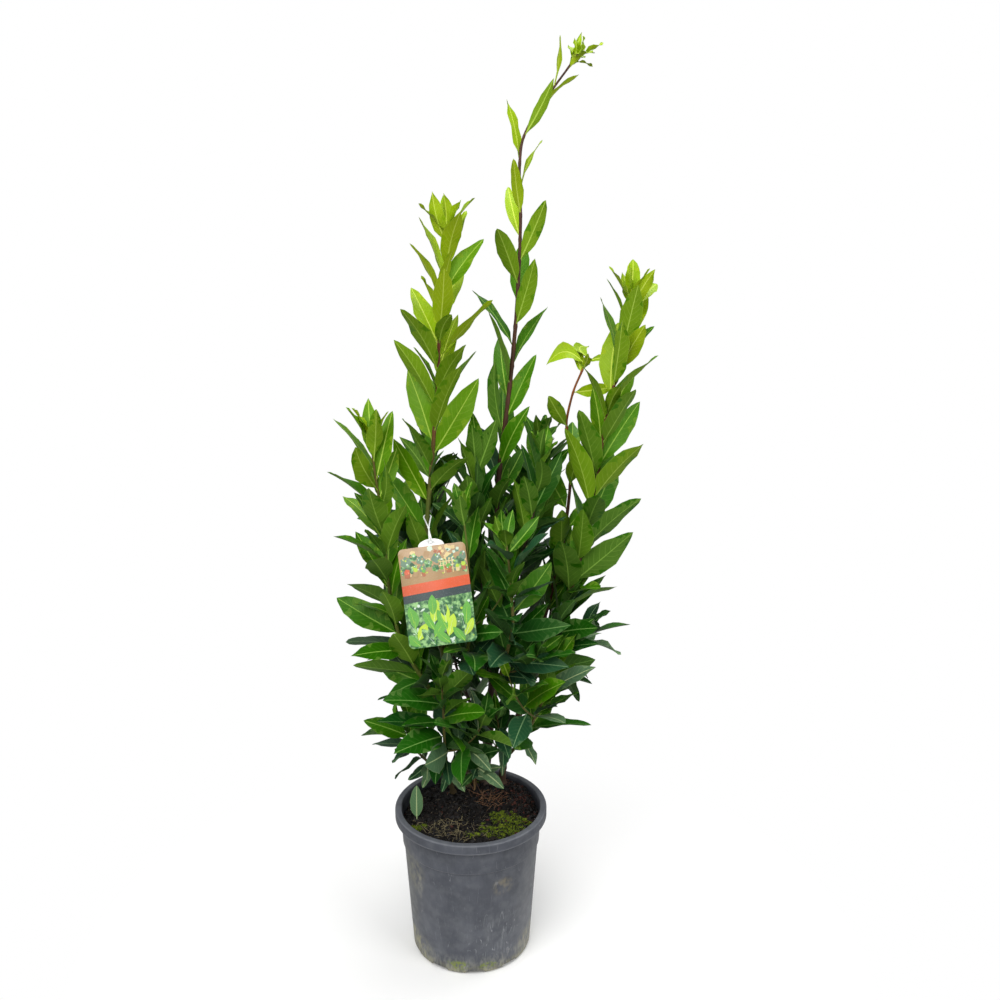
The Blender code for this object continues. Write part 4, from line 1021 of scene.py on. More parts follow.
def leaf_veins(tree):
    """How far out from the midrib a place on the blade lies, and masks of its side veins.

    The veins run forward to the edge, curve a little more as they go, and fade on the way.
    """
    blade = add_node(tree, "ShaderNodeUVMap", {"uv_map": "blade"}).outputs[0]
    axes = add_node(tree, "ShaderNodeSeparateXYZ", None, {0: blade})
    inputs = {0: axes.outputs[0], 1: 2.0, 2: -1.0}
    out = add_node(tree, "ShaderNodeMath", {"operation": "MULTIPLY_ADD"}, inputs).outputs[0]
    out = add_node(tree, "ShaderNodeMath", {"operation": "ABSOLUTE"}, {0: out}).outputs[0]
    run = add_node(tree, "ShaderNodeMath", {"operation": "POWER"}, {0: out, 1: 1.25}).outputs[0]
    run = add_node(tree, "ShaderNodeMath", {"operation": "MULTIPLY"}, {0: run, 1: -VEIN_LEAN}).outputs[0]
    inputs = {0: axes.outputs[1], 1: float(VEINS), 2: run}
    count = add_node(tree, "ShaderNodeMath", {"operation": "MULTIPLY_ADD"}, inputs).outputs[0]
    near = add_node(tree, "ShaderNodeMath", {"operation": "PINGPONG"}, {0: count, 1: 0.5}).outputs[0]
    inputs = {"Value": near, "From Min": 0.02, "From Max": 0.11, "To Min": 1.0, "To Max": 0.0}
    vein = add_node(tree, "ShaderNodeMapRange", None, inputs).outputs[0]
    inputs = {"Value": out, "From Min": 0.5, "From Max": 0.95, "To Min": 1.0, "To Max": 0.25}
    return out, vein, add_node(tree, "ShaderNodeMapRange", None, inputs).outputs[0]


def leaf_materials():
    """A material for each kind of leaf and each part of it."""
    for kind, (top, light, under, rib) in LEAF_COLOURS.items():
        for part, base, patchy in zip(LEAF_PARTS, (top, under, rib), (light, top, light)):
            waxed = part == "blade"
            sockets = {"Specular IOR Level": 0.28, "Specular Tint": linear("#E8F4B0"),
                       "Coat Weight": 0.04 if waxed else 0.0, "Coat Roughness": 0.3}
            tree, shader = new_material(f"laurel_{part}_{kind}", base, 0.5 if waxed else 0.62, sockets)
            tone = add_node(tree, "ShaderNodeAttribute", {"attribute_name": "tone"}).outputs["Fac"]
            lay(tree, shader, [tone], patchy, 0.6 if waxed else 0.25)
            # Cloudy patches some 11 mm across, as the leaf's green is never even.
            lay(tree, shader, [clouds(tree, 11 * MM, (0.5, 0.75))], patchy, 0.25)
            if part == "midrib":
                continue
            out, vein, fade = leaf_veins(tree)
            lay(tree, shader, [vein, fade], rib, 0.12 if waxed else 0.25)
            inputs = {"Value": out, "From Min": 0.92, "From Max": 1.0}
            edge = add_node(tree, "ShaderNodeMapRange", None, inputs).outputs[0]
            lay(tree, shader, [edge], rib, 0.3)
            relief(tree, shader, vein, (-0.05 if waxed else 0.08) * MM)
            relief(tree, shader, clouds(tree, 10 * MM, detail=1.0), 0.25 * MM)
            if waxed:
                tree.links.new(clouds(tree, 6 * MM, (0.35, 0.7), (0.42, 0.56)), shader.inputs["Roughness"])


# Bark: thin young bark, smooth and faintly glossy, with fine lengthwise streaks, pale breathing pores and a
# redder or greener tint by age.
BARKS = {  # base, streaks, pores, and the colour of its upper stretch
    "bark_purple_brown": ("#3A261C", "#261812", "#6A4E40", "#50301E"),
    "bark_red_brown": ("#52341E", "#382314", "#8A6844", "#6A401E"),
    "bark_orange_brown": ("#4C2A1A", "#351C12", "#A07850", "#90501E"),
    "bark_olive": ("#5C6626", "#484C1C", "#86884A", "#6A3020"),
    "bark_tan_green": ("#6E6A38", "#564628", "#9C9858", "#767636"),
    "bark_grey_brown": ("#4C3D30", "#32271E", "#74665A", "#5E4C34"),
}
RED_WOOD_FROM = (0.58, 0.68)  # heights between which the upper stretch's colour sets in
SHOOT_BARK = {
    "centre": "bark_purple_brown", "right": "bark_red_brown", "inner_right": "bark_orange_brown",
    **dict.fromkeys(("left", "outer_left", "front_left"), "bark_olive"),
    **dict.fromkeys(("low_left", "low_outer_left", "foot", "low_front", "front", "low_right"),
                    "bark_tan_green"),
}


def bark_materials():
    for name, (base, streak, pore, upper) in BARKS.items():
        tree, shader = new_material(name, base, 0.55, {"Specular IOR Level": 0.32})
        lay(tree, shader, [by_height(tree, *RED_WOOD_FROM)], upper)
        lay(tree, shader, [clouds(tree, 0.9 * MM, (0.45, 0.7), stretch=(1, 1, 14), detail=3.0)], streak, 0.6)
        lay(tree, shader, [clouds(tree, 14 * MM, (0.45, 0.7))], streak, 0.35)
        lay(tree, shader, [clouds(tree, 1.3 * MM, (0.68, 0.76), stretch=(1, 1, 0.7))], pore, 0.7)
        # Old wood at the foot of the stems is grey brown and dusty.
        lay(tree, shader, [by_height(tree, 0.27, 0.2)], "#43352B", 0.75)
        relief(tree, shader, clouds(tree, 0.9 * MM, stretch=(1, 1, 14), detail=3.0), 0.18 * MM)
        relief(tree, shader, clouds(tree, 1.3 * MM, stretch=(1, 1, 0.7)), 0.12 * MM)


def scratches(tree, size, turn, ends):
    """Thin broken lines, where soft patches pass through their middle value."""
    soft = clouds(tree, size, stretch=(0.35, 0.35, 2.6), turn=(0.1, turn, 0.6), detail=0.0)
    off = add_node(tree, "ShaderNodeMath", {"operation": "SUBTRACT"}, {0: soft, 1: 0.5}).outputs[0]
    off = add_node(tree, "ShaderNodeMath", {"operation": "ABSOLUTE"}, {0: off}).outputs[0]
    inputs = {"Value": off, "From Min": 0.0, "From Max": ends, "To Min": 1.0, "To Max": 0.0}
    line = add_node(tree, "ShaderNodeMapRange", None, inputs).outputs[0]
    return [line, clouds(tree, 11 * MM, (0.5, 0.58))]


def near_height(tree, level, reach):
    """1 at a height, falling to 0 above and below it."""
    where = add_node(tree, "ShaderNodeTexCoord").outputs["Object"]
    height = add_node(tree, "ShaderNodeSeparateXYZ", None, {0: where}).outputs["Z"]
    away = add_node(tree, "ShaderNodeMath", {"operation": "SUBTRACT"}, {0: height, 1: level}).outputs[0]
    away = add_node(tree, "ShaderNodeMath", {"operation": "ABSOLUTE"}, {0: away}).outputs[0]
    inputs = {"Value": away, "From Min": 0.0, "From Max": reach, "To Min": 1.0, "To Max": 0.0}
    return add_node(tree, "ShaderNodeMapRange", None, inputs).outputs[0]


def inside_radius(tree, radius):
    """1 nearer to the pot's axis than a radius."""
    where = add_node(tree, "ShaderNodeTexCoord").outputs["Object"]
    inputs = {0: where, 1: (1, 1, 0)}
    flat = add_node(tree, "ShaderNodeVectorMath", {"operation": "MULTIPLY"}, inputs).outputs[0]
    away = add_node(tree, "ShaderNodeVectorMath", {"operation": "LENGTH"}, {0: flat}).outputs["Value"]
    inputs = {"Value": away, "From Min": radius + 0.5 * MM, "From Max": radius - 0.5 * MM}
    return add_node(tree, "ShaderNodeMapRange", None, inputs).outputs[0]


POT_STAINS = (  # centre, reach, colour and share of a stain on the pot's wall
    ((-0.070, -0.046, 0.126), (0.022, 0.034, 0.034), "#85826C", 0.50),
    ((-0.0615, -0.050, 0.110), (0.0045, 0.030, 0.026), "#989688", 0.42),
    ((0.040, -0.072, 0.122), (0.016, 0.030, 0.015), "#8C8266", 0.52),
    ((0.034, -0.071, 0.056), (0.026, 0.040, 0.050), "#686B6E", 0.30),
    ((-0.070, -0.030, 0.018), (0.040, 0.050, 0.026), "#9A966E", 0.65),
    ((0.072, -0.020, 0.020), (0.030, 0.050, 0.026), "#9C987E", 0.60),
)
POT_GREENS = (  # centre and reach of the green growth at its foot
    ((-0.015, -0.074, 0.013), (0.018, 0.03, 0.009)), ((0.022, -0.073, 0.012), (0.016, 0.03, 0.006)),
)
POT_SCRATCHES = ((30 * MM, 0.5, 0.012), (22 * MM, 0.75, 0.011), (18 * MM, 1.2, 0.011))  # size, turn, ends
POT_EDGE_DUST_AND_HIGHLIGHT = ((189.4, 1.3), (178.6, 1.6), (146.4, 0.8))  # height and reach in mm of each edge painted lighter, partly dust and partly a painted highlight


# The pot: polypropylene, injection moulded and long in the open. It is matt dark grey, bleached in clouds
# and lighter towards its left and right sides, with fine scratches, lime where water ran off its foot, and a
# little green there.
def pot_material():
    sockets = {"Specular IOR Level": 0.42}
    tree, shader = new_material("polypropylene_weathered_grey", "#41444C", 0.56, sockets)
    lay(tree, shader, [clouds(tree, 40 * MM, (0.42, 0.62))], "#4F525A", 0.75)
    # Lighter towards the pot's left and right sides.
    lay(tree, shader, [patch(tree, (0.085, -0.03, 0.08), (0.045, 0.06, 0.12))], "#6C6E70", 0.45)
    lay(tree, shader, [patch(tree, (-0.085, -0.03, 0.08), (0.030, 0.06, 0.12))], "#66685F", 0.40)
    lay(tree, shader, [clouds(tree, 12 * MM, (0.45, 0.66), detail=4.0)], "#5E6166", 0.40)
    lay(tree, shader, [clouds(tree, 26 * MM, (0.52, 0.68), detail=3.0)], "#34373E", 0.45)
    lay(tree, shader, [clouds(tree, 1.8 * MM, (0.45, 0.8), stretch=(1, 1, 14), detail=3.0)], "#5E6166", 0.12)
    lay(tree, shader, [clouds(tree, 1.4 * MM, (0.72, 0.78), detail=1.0)], "#808286", 0.3)
    lower_right = patch(tree, (0.034, -0.070, 0.048), (0.048, 0.05, 0.058))
    for size, turn, ends in POT_SCRATCHES:
        lay(tree, shader, [*scratches(tree, size, turn, ends), lower_right], "#989A9C", 0.75)
    lay(tree, shader, scratches(tree, 36 * MM, -0.4, 0.007), "#8C8E92", 0.5)
    smear = clouds(tree, 6 * MM, (0.38, 0.66), stretch=(1, 1, 1.6), turn=(0, 0.5, 0), detail=4.0)
    for centre, reach, colour, share in POT_STAINS:
        lay(tree, shader, [patch(tree, centre, reach), smear], colour, share)
    runs = clouds(tree, 3.0 * MM, (0.40, 0.72), stretch=(1, 1, 3), detail=5.0)
    lay(tree, shader, [by_height(tree, 30 * MM, 8 * MM), runs], "#97968A", 0.70)
    lay(tree, shader, [by_height(tree, 14 * MM, 3 * MM), clouds(tree, 5 * MM, (0.35, 0.6))], "#8A876A", 0.8)
    for centre, reach in POT_GREENS:
        tufts = clouds(tree, 3.5 * MM, (0.42, 0.56), detail=4.0)
        lay(tree, shader, [patch(tree, centre, reach), tufts], "#6E7A34", 0.9)
    # Lighter edges: the rim's top and lower edge, and the step of the band, are painted lighter, partly with
    # the dust that they catch and partly as a painted highlight.
    edge_dust_and_highlight = clouds(tree, 25 * MM, (0.3, 0.6), (0.3, 1.0), detail=4.0)
    for level, reach in POT_EDGE_DUST_AND_HIGHLIGHT:
        lay(tree, shader, [near_height(tree, level * MM, reach * MM), edge_dust_and_highlight], "#7C7F84", 0.5)
    # Inside, above the compost, the wall is painted nearly black: partly damp plastic, partly painted shade.
    lay(tree, shader, [inside_radius(tree, 86.3 * MM), by_height(tree, 0.160, 0.164)], "#1E2026", 0.9)
    tree.links.new(clouds(tree, 9 * MM, (0.35, 0.7), (0.48, 0.64), detail=4.0), shader.inputs["Roughness"])
    relief(tree, shader, clouds(tree, 1.8 * MM, stretch=(1, 1, 14)), 0.03 * MM)
    relief(tree, shader, clouds(tree, 0.9 * MM), 0.04 * MM)
    relief(tree, shader, clouds(tree, 18 * MM), 0.4 * MM)


# Compost's parts: damp peat and shredded bark, matt and near black with red-brown crumbs, dry straw and
# grit, and live moss, soft and yellow green.
LITTER = {  # base, second colour, roughness, grain in mm
    "peat_damp": ("#0A0808", "#14100F", 0.6, 1.4),
    "peat_brown": ("#171210", "#2C221A", 0.85, 1.2),
    "bark_shred_red": ("#3A1E1A", "#643A2C", 0.85, 1.0),
    "bark_shred_rust": ("#70503A", "#9A785A", 0.8, 1.0),
    "straw_dry": ("#7A7052", "#A69A78", 0.8, 1.2),
    "straw_dull": ("#665C4C", "#988C74", 0.85, 1.2),
    "grit_pale": ("#9A948A", "#C4BEB2", 0.75, 0.8),
    "moss_bright": ("#627418", "#8C982A", 0.85, 6.0),
    "moss_deep": ("#30400E", "#4E5E14", 0.9, 6.0),
}


def litter_materials():
    for name, (base, second, roughness, grain) in LITTER.items():
        tree, shader = new_material(name, base, roughness, {"Specular IOR Level": 0.3})
        lay(tree, shader, [clouds(tree, grain * MM, (0.45, 0.7), detail=3.0)], second, 0.8)
        relief(tree, shader, clouds(tree, grain * MM, detail=3.0), 0.4 * MM)


# The printed card: white polystyrene sheet, screen printed, with a thin clear varnish that gives it a soft
# shine. Its inks are flat, with a faint print grain and rubbed spots.
INKS = {
    "card_sheet_white": "#F1F2F0", "ink_sand": "#A8875C", "ink_terracotta": "#A8603A",
    "ink_sage": "#64826A", "ink_orange": "#D4582E", "ink_slate": "#344244", "ink_deep_green": "#2A6438",
    "ink_leaf_green": "#5CA436", "ink_lime": "#B4D232", "ink_cream": "#DCC48A", "ink_mist": "#C8DCC8",
}


def card_materials():
    for name, colour in INKS.items():
        tree, shader = new_material(name, colour, 0.38, {"Coat Weight": 0.25, "Coat Roughness": 0.2})
        lay(tree, shader, [clouds(tree, 1.2 * MM, (0.55, 0.8), detail=3.0)], "#FFFFFF", 0.10)
        lay(tree, shader, [clouds(tree, 14 * MM, (0.4, 0.7))], "#2A3420", 0.12)
        if name == "ink_deep_green":
            # The leafy panel's ground is dappled, in clouds some 5 mm across.
            lay(tree, shader, [clouds(tree, 5 * MM, (0.44, 0.62))], "#A2D088", 0.8)
            lay(tree, shader, [clouds(tree, 9 * MM, (0.53, 0.62))], "#163C22", 0.6)
        tree.links.new(clouds(tree, 6 * MM, (0.4, 0.7), (0.3, 0.48)), shader.inputs["Roughness"])
        relief(tree, shader, clouds(tree, 18 * MM), 0.35 * MM)
    # The strap: moulded soft polythene, milky white with a dull sheen.
    tree, shader = new_material("polythene_moulded_white", "#EEF0EF", 0.42, {"Specular IOR Level": 0.45})
    lay(tree, shader, [clouds(tree, 3 * MM, (0.5, 0.75))], "#D5DAD6", 0.5)
    relief(tree, shader, clouds(tree, 0.8 * MM), 0.05 * MM)


# Limbs


def fine_line(points, radii, step):
    """The same line with its radii, smoother and with a point at each step."""
    sizes = [radii[0]]
    for i in range(len(points) - 1):
        pieces = max(1, round((points[i + 1] - points[i]).length / step))
        sizes += [radii[i] + (radii[i + 1] - radii[i]) * (k + 1) / pieces for k in range(pieces)]
    return smooth_path(points, step), sizes


def sweep(bm, points, radii, sides, level_foot=False):
    """Extrudes a circle along the points into a closed round bar."""
    places = []
    for point, radius, axes in zip(points, radii, axes_along(points, level_foot)):
        turn = Matrix(axes).transposed().to_4x4()
        places.append(Matrix.Translation(point) @ turn @ Matrix.Diagonal((radius, radius, radius, 1)))
    ring = bmesh.ops.create_circle(bm, cap_ends=False, segments=sides, radius=1.0, matrix=places[0])["verts"]
    first = edges = list({e for v in ring for e in v.link_edges})
    for before, after in zip(places, places[1:]):
        grown = bmesh.ops.extrude_edge_only(bm, edges=edges)["geom"]
        fresh = [g for g in grown if isinstance(g, bmesh.types.BMVert)]
        edges = [g for g in grown if isinstance(g, bmesh.types.BMEdge)]
        bmesh.ops.transform(bm, matrix=after @ before.inverted(), verts=fresh)
    bmesh.ops.contextual_create(bm, geom=first)
    bmesh.ops.contextual_create(bm, geom=edges)


def swell_at(points, radii, joints):
    """Widens a line's radii near its leaf joints."""
    if not joints:
        return radii
    tree = point_tree(joints)
    near = [max(0.0, 1 - tree.find(p)[2] / JOINT_REACH) for p in points]
    return [r * (1 + JOINT_SWELL * n) for r, n in zip(radii, near)]


def make_limb(limb, twigs, leaves, draw):
    """A whole shoot's wood: its bare stretch and main twig as one bar, its side twigs, and leaf joints."""
    shoot = limb.shoot
    sizes = limb.bare_radii + limb.leafy_radii[1:]
    points, radii = fine_line(limb.bare + limb.leafy[1:], sizes, LIMB_STEP)
    radii = [r * (1 - SLIMMER * i / len(radii)) for i, r in enumerate(radii)]
    joints = [leaf.root for leaf in leaves]
    travelled = draw.uniform(*BARE_JOINT_GAP)
    while travelled < length_of(limb.bare) - BARE_JOINT_GAP[0]:
        joints.append(place_on(limb.bare, travelled)[0])
        travelled += draw.uniform(*BARE_JOINT_GAP)
    bm = bmesh.new()
    sweep(bm, points, swell_at(points, radii, joints), LIMB_SIDES, not shoot.parent)
    for twig in twigs[1:]:
        line, sizes = fine_line(twig.points, twig.radii, LIMB_STEP)
        sweep(bm, line, swell_at(line, sizes, joints), SIDE_LIMB_SIDES)
    bmesh.ops.recalc_face_normals(bm, faces=bm.faces)
    for vert in bm.verts:
        lump = sum(noise.noise(vert.co / size) * high for size, high in BARK_LUMPS)
        vert.co += vert.normal * lump * shoot.radius[0] * MM * 0.5
    bark = SHOOT_BARK.get(shoot.name, "bark_grey_brown")
    kind = "bough_" if shoot.parent else "stem_"
    show(piece_of("wood_" + shoot.name, bm, [bark], math.radians(70)), "bark", kind + shoot.name)


# Leaves in their own outline


class Look(NamedTuple):
    """How one leaf differs from the next, beyond its measures."""

    fold: float  # angle that each half of the blade is lifted by
    twist: float
    sickle: float  # sideways bow, as a share of its length
    wave: float  # height of the waves along its edge
    waves: float
    phase: float
    fullness: float  # power on the outline: below 1 fuller, above 1 narrower towards its ends
    kind: str
    tone: float


RING_POINTS = 8
LEAF_FACE_PARTS = (0, 0, 2, 0, 0, 1, 2, 1)  # blade, underside or midrib, for each face round a ring
RIB_PART = 2


def leaf_faces():
    """The faces of one leaf, and which of the leaf's parts each belongs to."""
    faces = [list(range(RING_POINTS))]
    parts = [RIB_PART]
    for i in range(len(LEAF_OUTLINE) - 1):
        low, high = i * RING_POINTS, (i + 1) * RING_POINTS
        for k in range(RING_POINTS):
            n = (k + 1) % RING_POINTS
            faces.append([low + k, high + k, high + n, low + n])
            parts.append(RIB_PART if i == 0 else LEAF_FACE_PARTS[k])
    last, tip = (len(LEAF_OUTLINE) - 1) * RING_POINTS, len(LEAF_OUTLINE) * RING_POINTS
    for k in range(RING_POINTS):
        faces.append([last + k, tip, last + (k + 1) % RING_POINTS])
        parts.append(LEAF_FACE_PARTS[k])
    return faces, parts


LEAF_FACES, LEAF_PART_OF_FACE = leaf_faces()


def leaf_points(leaf, look):
    """The points of one leaf and their places on the flat blade."""
    points, flat = [], []
    for share, wide in LEAF_OUTLINE:
        middle, face, across = leaf_frame(leaf, share)
        twist = look.twist * (share - TWIST_FROM)
        face, across = (math.cos(twist) * face + math.sin(twist) * across,
                        math.cos(twist) * across - math.sin(twist) * face)
        middle = middle + across * (look.sickle * leaf.length * math.sin(math.pi * share))
        blade = wide > 0
        half = max(BLADE_WIDTH * leaf.width / 2 * wide ** look.fullness, STALK_HALF)
        rib = between(RIB_HALF, share) if blade else STALK_HALF * 0.5
        fold = look.fold if blade else 0.0
        lift, out = math.sin(fold), math.cos(fold)
        for u in (-1.0, -QUARTER, -rib / half, rib / half, QUARTER, 1.0):
            side = 1 if u > 0 else -1
            turn = math.tau * look.waves * share + look.phase + side * WAVE_SHIFT
            wave = look.wave * abs(u) ** 1.5 * math.sin(turn) if blade else 0.0
            proud = RIB_PROUD if abs(u) < QUARTER else 0.0
            if not blade:
                proud = STALK_PROUD * (1 - abs(u) ** 2)
            ripple = 1.0
            if blade and abs(u) == 1:
                ripple += RIPPLE * math.sin(math.tau * RIPPLES * share + 3 * look.phase + side)
            reach = u * half * ripple
            points.append(middle + across * (reach * out) + face * (abs(u) * half * lift + wave + proud))
            flat.append((0.5 + u / 2, share))
        thick = BLADE_THICK + RIB_THICK * (1 - share)
        for side in (1, -1):
            points.append(middle + across * side * rib - face * thick)
            flat.append((0.5, share))
    points.append(leaf_tip(leaf))
    flat.append((0.5, 1.0))
    return points, flat


def trimmed(leaf, end, beside):
    """The leaf smaller over the compost and beside a rosette, and broader low down."""
    tip = leaf_tip(leaf)
    share = min(1.0, max(LOW_SIZE, 1 - (LOW_TIP - tip.z) / LOW_FALL))
    share *= beside + (1 - beside) * min(1.0, (leaf.root - end).length / BESIDE_REACH)
    start, full = BREADTH_HEIGHTS
    broad = 1 + LOW_BREADTH * min(1.0, max(0.0, (start - tip.z) / (start - full)))
    return leaf._replace(length=leaf.length * share, width=leaf.width * share * broad)


def leaf_look(name, leaf, twig_ends, draw):
    """Folds and tone of one leaf, which is lighter the higher it stands and the nearer to a twig's end."""
    near_end = max(0.0, 1 - twig_ends.find(leaf.root)[2] / TIP_REACH)
    middle = leaf_frame(leaf, 0.5)[0]
    lift = TIP_TONES.get(name, TIP_TONES["other"]) * near_end
    tone = middle.z + SHOOT_TONE.get(name, 0.0) + lift + draw.gauss(0, TONE_SPREAD)
    kind = next(t for t, floor in zip(TONES, TONE_FLOORS) if tone > floor)
    if kind in ("old", "dark") and draw.random() < GLAUCOUS_SHARE:
        kind = "glaucous"
    grey = GREY_SHARE if leaf_tip(leaf).z < LOW_TIP else GREY_SHARES.get(name, GREY_SHARES["other"])
    if draw.random() < grey:
        kind = draw.choice(("dropped", "glaucous"))
    crinkle = 1 + near_end
    return Look(max(0.04, draw.gauss(0.2, 0.09)) * crinkle, draw.gauss(0, 0.28), draw.gauss(0, 0.02),
                draw.uniform(0.6, 1.8) * MM * crinkle, draw.uniform(1.3, 2.6), draw.uniform(0, math.tau),
                draw.uniform(0.85, 1.15), kind, draw.random())


def add_leaf_to(batch, leaf, look):
    points, flat = leaf_points(leaf, look)
    first = LEAF_KINDS.index(look.kind) * len(LEAF_PARTS)
    batch.add(points, LEAF_FACES, [first + part for part in LEAF_PART_OF_FACE], flat, look.tone)


def leaf_palette():
    return [f"laurel_{part}_{kind}" for kind in LEAF_KINDS for part in LEAF_PARTS]


def infill(limb, twigs, spaces, draw):
    """Smaller leaves between the others on a mass's twigs, wherever one fits."""
    found = []
    shoot = limb.shoot
    for twig in twigs:
        length = length_of(twig.points)
        distance = INFILL_ZONE[0] * length
        turn = draw.uniform(0, math.tau)
        while distance < INFILL_ZONE[1] * length:
            root, axis = place_on(twig.points, distance)
            low = root.z < INFILL_TOP.get(shoot.name, INFILL_TOP["other"])
            gap = INFILL_GAPS.get(shoot.name, INFILL_GAP) if low else INFILL_THIN_GAPS.get(shoot.name)
            if not gap:
                break
            share = distance / length
            for _ in range(INFILL_TRIES):
                turn += LEAF_TURN
                angle = math.radians(between(shoot.splay, share) + draw.gauss(0, INFILL_SPLAY_SPREAD))
                along, face = leaf_directions(axis, turn, angle, math.radians(draw.gauss(0, LEAF_ROLL)))
                long = draw.uniform(*INFILL_SIZE)
                leaf = Leaf(root, along, face, long, long * LEAF_WIDTH * draw.uniform(*LEAF_WIDTHS),
                            math.radians(draw.uniform(*LEAF_BENDS)))
                if spaces.fits(shoot.name, leaf, outer_parts(found[-1:] or [leaf._replace(root=root + UP)])):
                    found.append(leaf)
                    break
            distance += gap
    if found:
        spaces.fill(found)
    return found


def rosette(limb, draw):
    """New leaves crowded at the end of a tall shoot, the outer ones opening outwards."""
    made = ROSETTES[limb.shoot.name]
    end, axis = limb.leafy[-1], tangent_at(limb.leafy, len(limb.leafy) - 1)
    for number in range(made.count):
        share = number / (made.count - 1)
        angle = math.radians(between(made.splay, share) + draw.gauss(0, 5))
        outward = outward_from(axis, math.radians(made.start) + LEAF_TURN * number)
        along = math.cos(angle) * axis + math.sin(angle) * outward
        face = (math.sin(angle) * axis - math.cos(angle) * outward).lerp(FRONT, made.facing)
        face = Matrix.Rotation(draw.gauss(0, 0.3), 3, along) @ (face - along * face.dot(along)).normalized()
        long = between(made.mm_long, share) * MM * draw.uniform(0.9, 1.1)
        root = end - axis * (1 - share) * ROSETTE_DEPTH + outward * ROSETTE_OFF
        bend = math.radians(made.curl * draw.uniform(0.7, 1.3))
        leaf = Leaf(root, along, face, long, long * made.width * draw.uniform(0.9, 1.15), bend)
        bow = math.copysign(made.bow, along.x) + draw.gauss(0, 0.03)
        look = Look(draw.uniform(0.08, 0.28), draw.gauss(0, 0.2), bow, draw.uniform(0.8, 1.8) * MM,
                    draw.uniform(1.6, 2.8), draw.uniform(0, math.tau), 0.85, "tip", draw.uniform(0.3, 1.0))
        yield leaf, look


def make_plant(limbs):
    """Every shoot's wood and leaves."""
    twigs = grow_twigs(limbs)
    spaces = Spaces(twigs, make_keep_out(limbs))
    masses = {name: grow_leaves(limb, twigs[name], spaces) for name, limb in limbs.items()}
    draw = random.Random(LOOKS_SEED)
    for name, limb in limbs.items():
        leaves = masses[name] + infill(limb, twigs[name], spaces, draw)
        ends = point_tree([twig.points[-1] for twig in twigs[name]])
        end = limb.leafy[-1]
        batch = Batch()
        for leaf in leaves:
            look = leaf_look(name, leaf, ends, draw)
            if name not in ROSETTES:
                add_leaf_to(batch, trimmed(leaf, end, 1.0), look)
            elif (leaf.root - end).length > ROSETTE_REACH:
                add_leaf_to(batch, trimmed(leaf, end, ROSETTES[name].beside), look)
        if name in ROSETTES:
            for leaf, look in rosette(limb, draw):
                add_leaf_to(batch, leaf, look)
        for share, long, wide, kind, heading in LOW_LEAVES.get(name, ()):
            root = place_on(limb.leafy, share * length_of(limb.leafy))[0]
            along = Vector(heading).normalized()
            face = (FRONT - along * along.dot(FRONT)).normalized()
            leaf = Leaf(root, along, face, long * MM, long * wide * MM, LOW_BEND)
            fold = LOW_FOLDS.get(kind, LOW_FOLD)
            add_leaf_to(batch, leaf, Look(fold, 0.3, 0.04, 1.2 * MM, 2.0, 1.0, 0.95, kind, draw.random()))
        show(batch.piece("foliage_" + name, leaf_palette()), "bay_leaf", "leaves_" + name)
        make_limb(limb, twigs[name], leaves, draw)


# Pot


def turned(profile, steps):
    """A closed turned shape from a profile of radius and height that starts and ends on the axis."""
    bm = bmesh.new()
    verts = [bm.verts.new((r, 0, z)) for r, z in profile]
    edges = [bm.edges.new(pair) for pair in zip(verts, verts[1:])]
    bmesh.ops.spin(bm, geom=verts + edges, cent=(0, 0, 0), axis=(0, 0, 1), angle=math.tau, steps=steps,
                   use_merge=True)
    bmesh.ops.remove_doubles(bm, verts=bm.verts, dist=0.01 * MM)
    bmesh.ops.recalc_face_normals(bm, faces=bm.faces)
    return bm


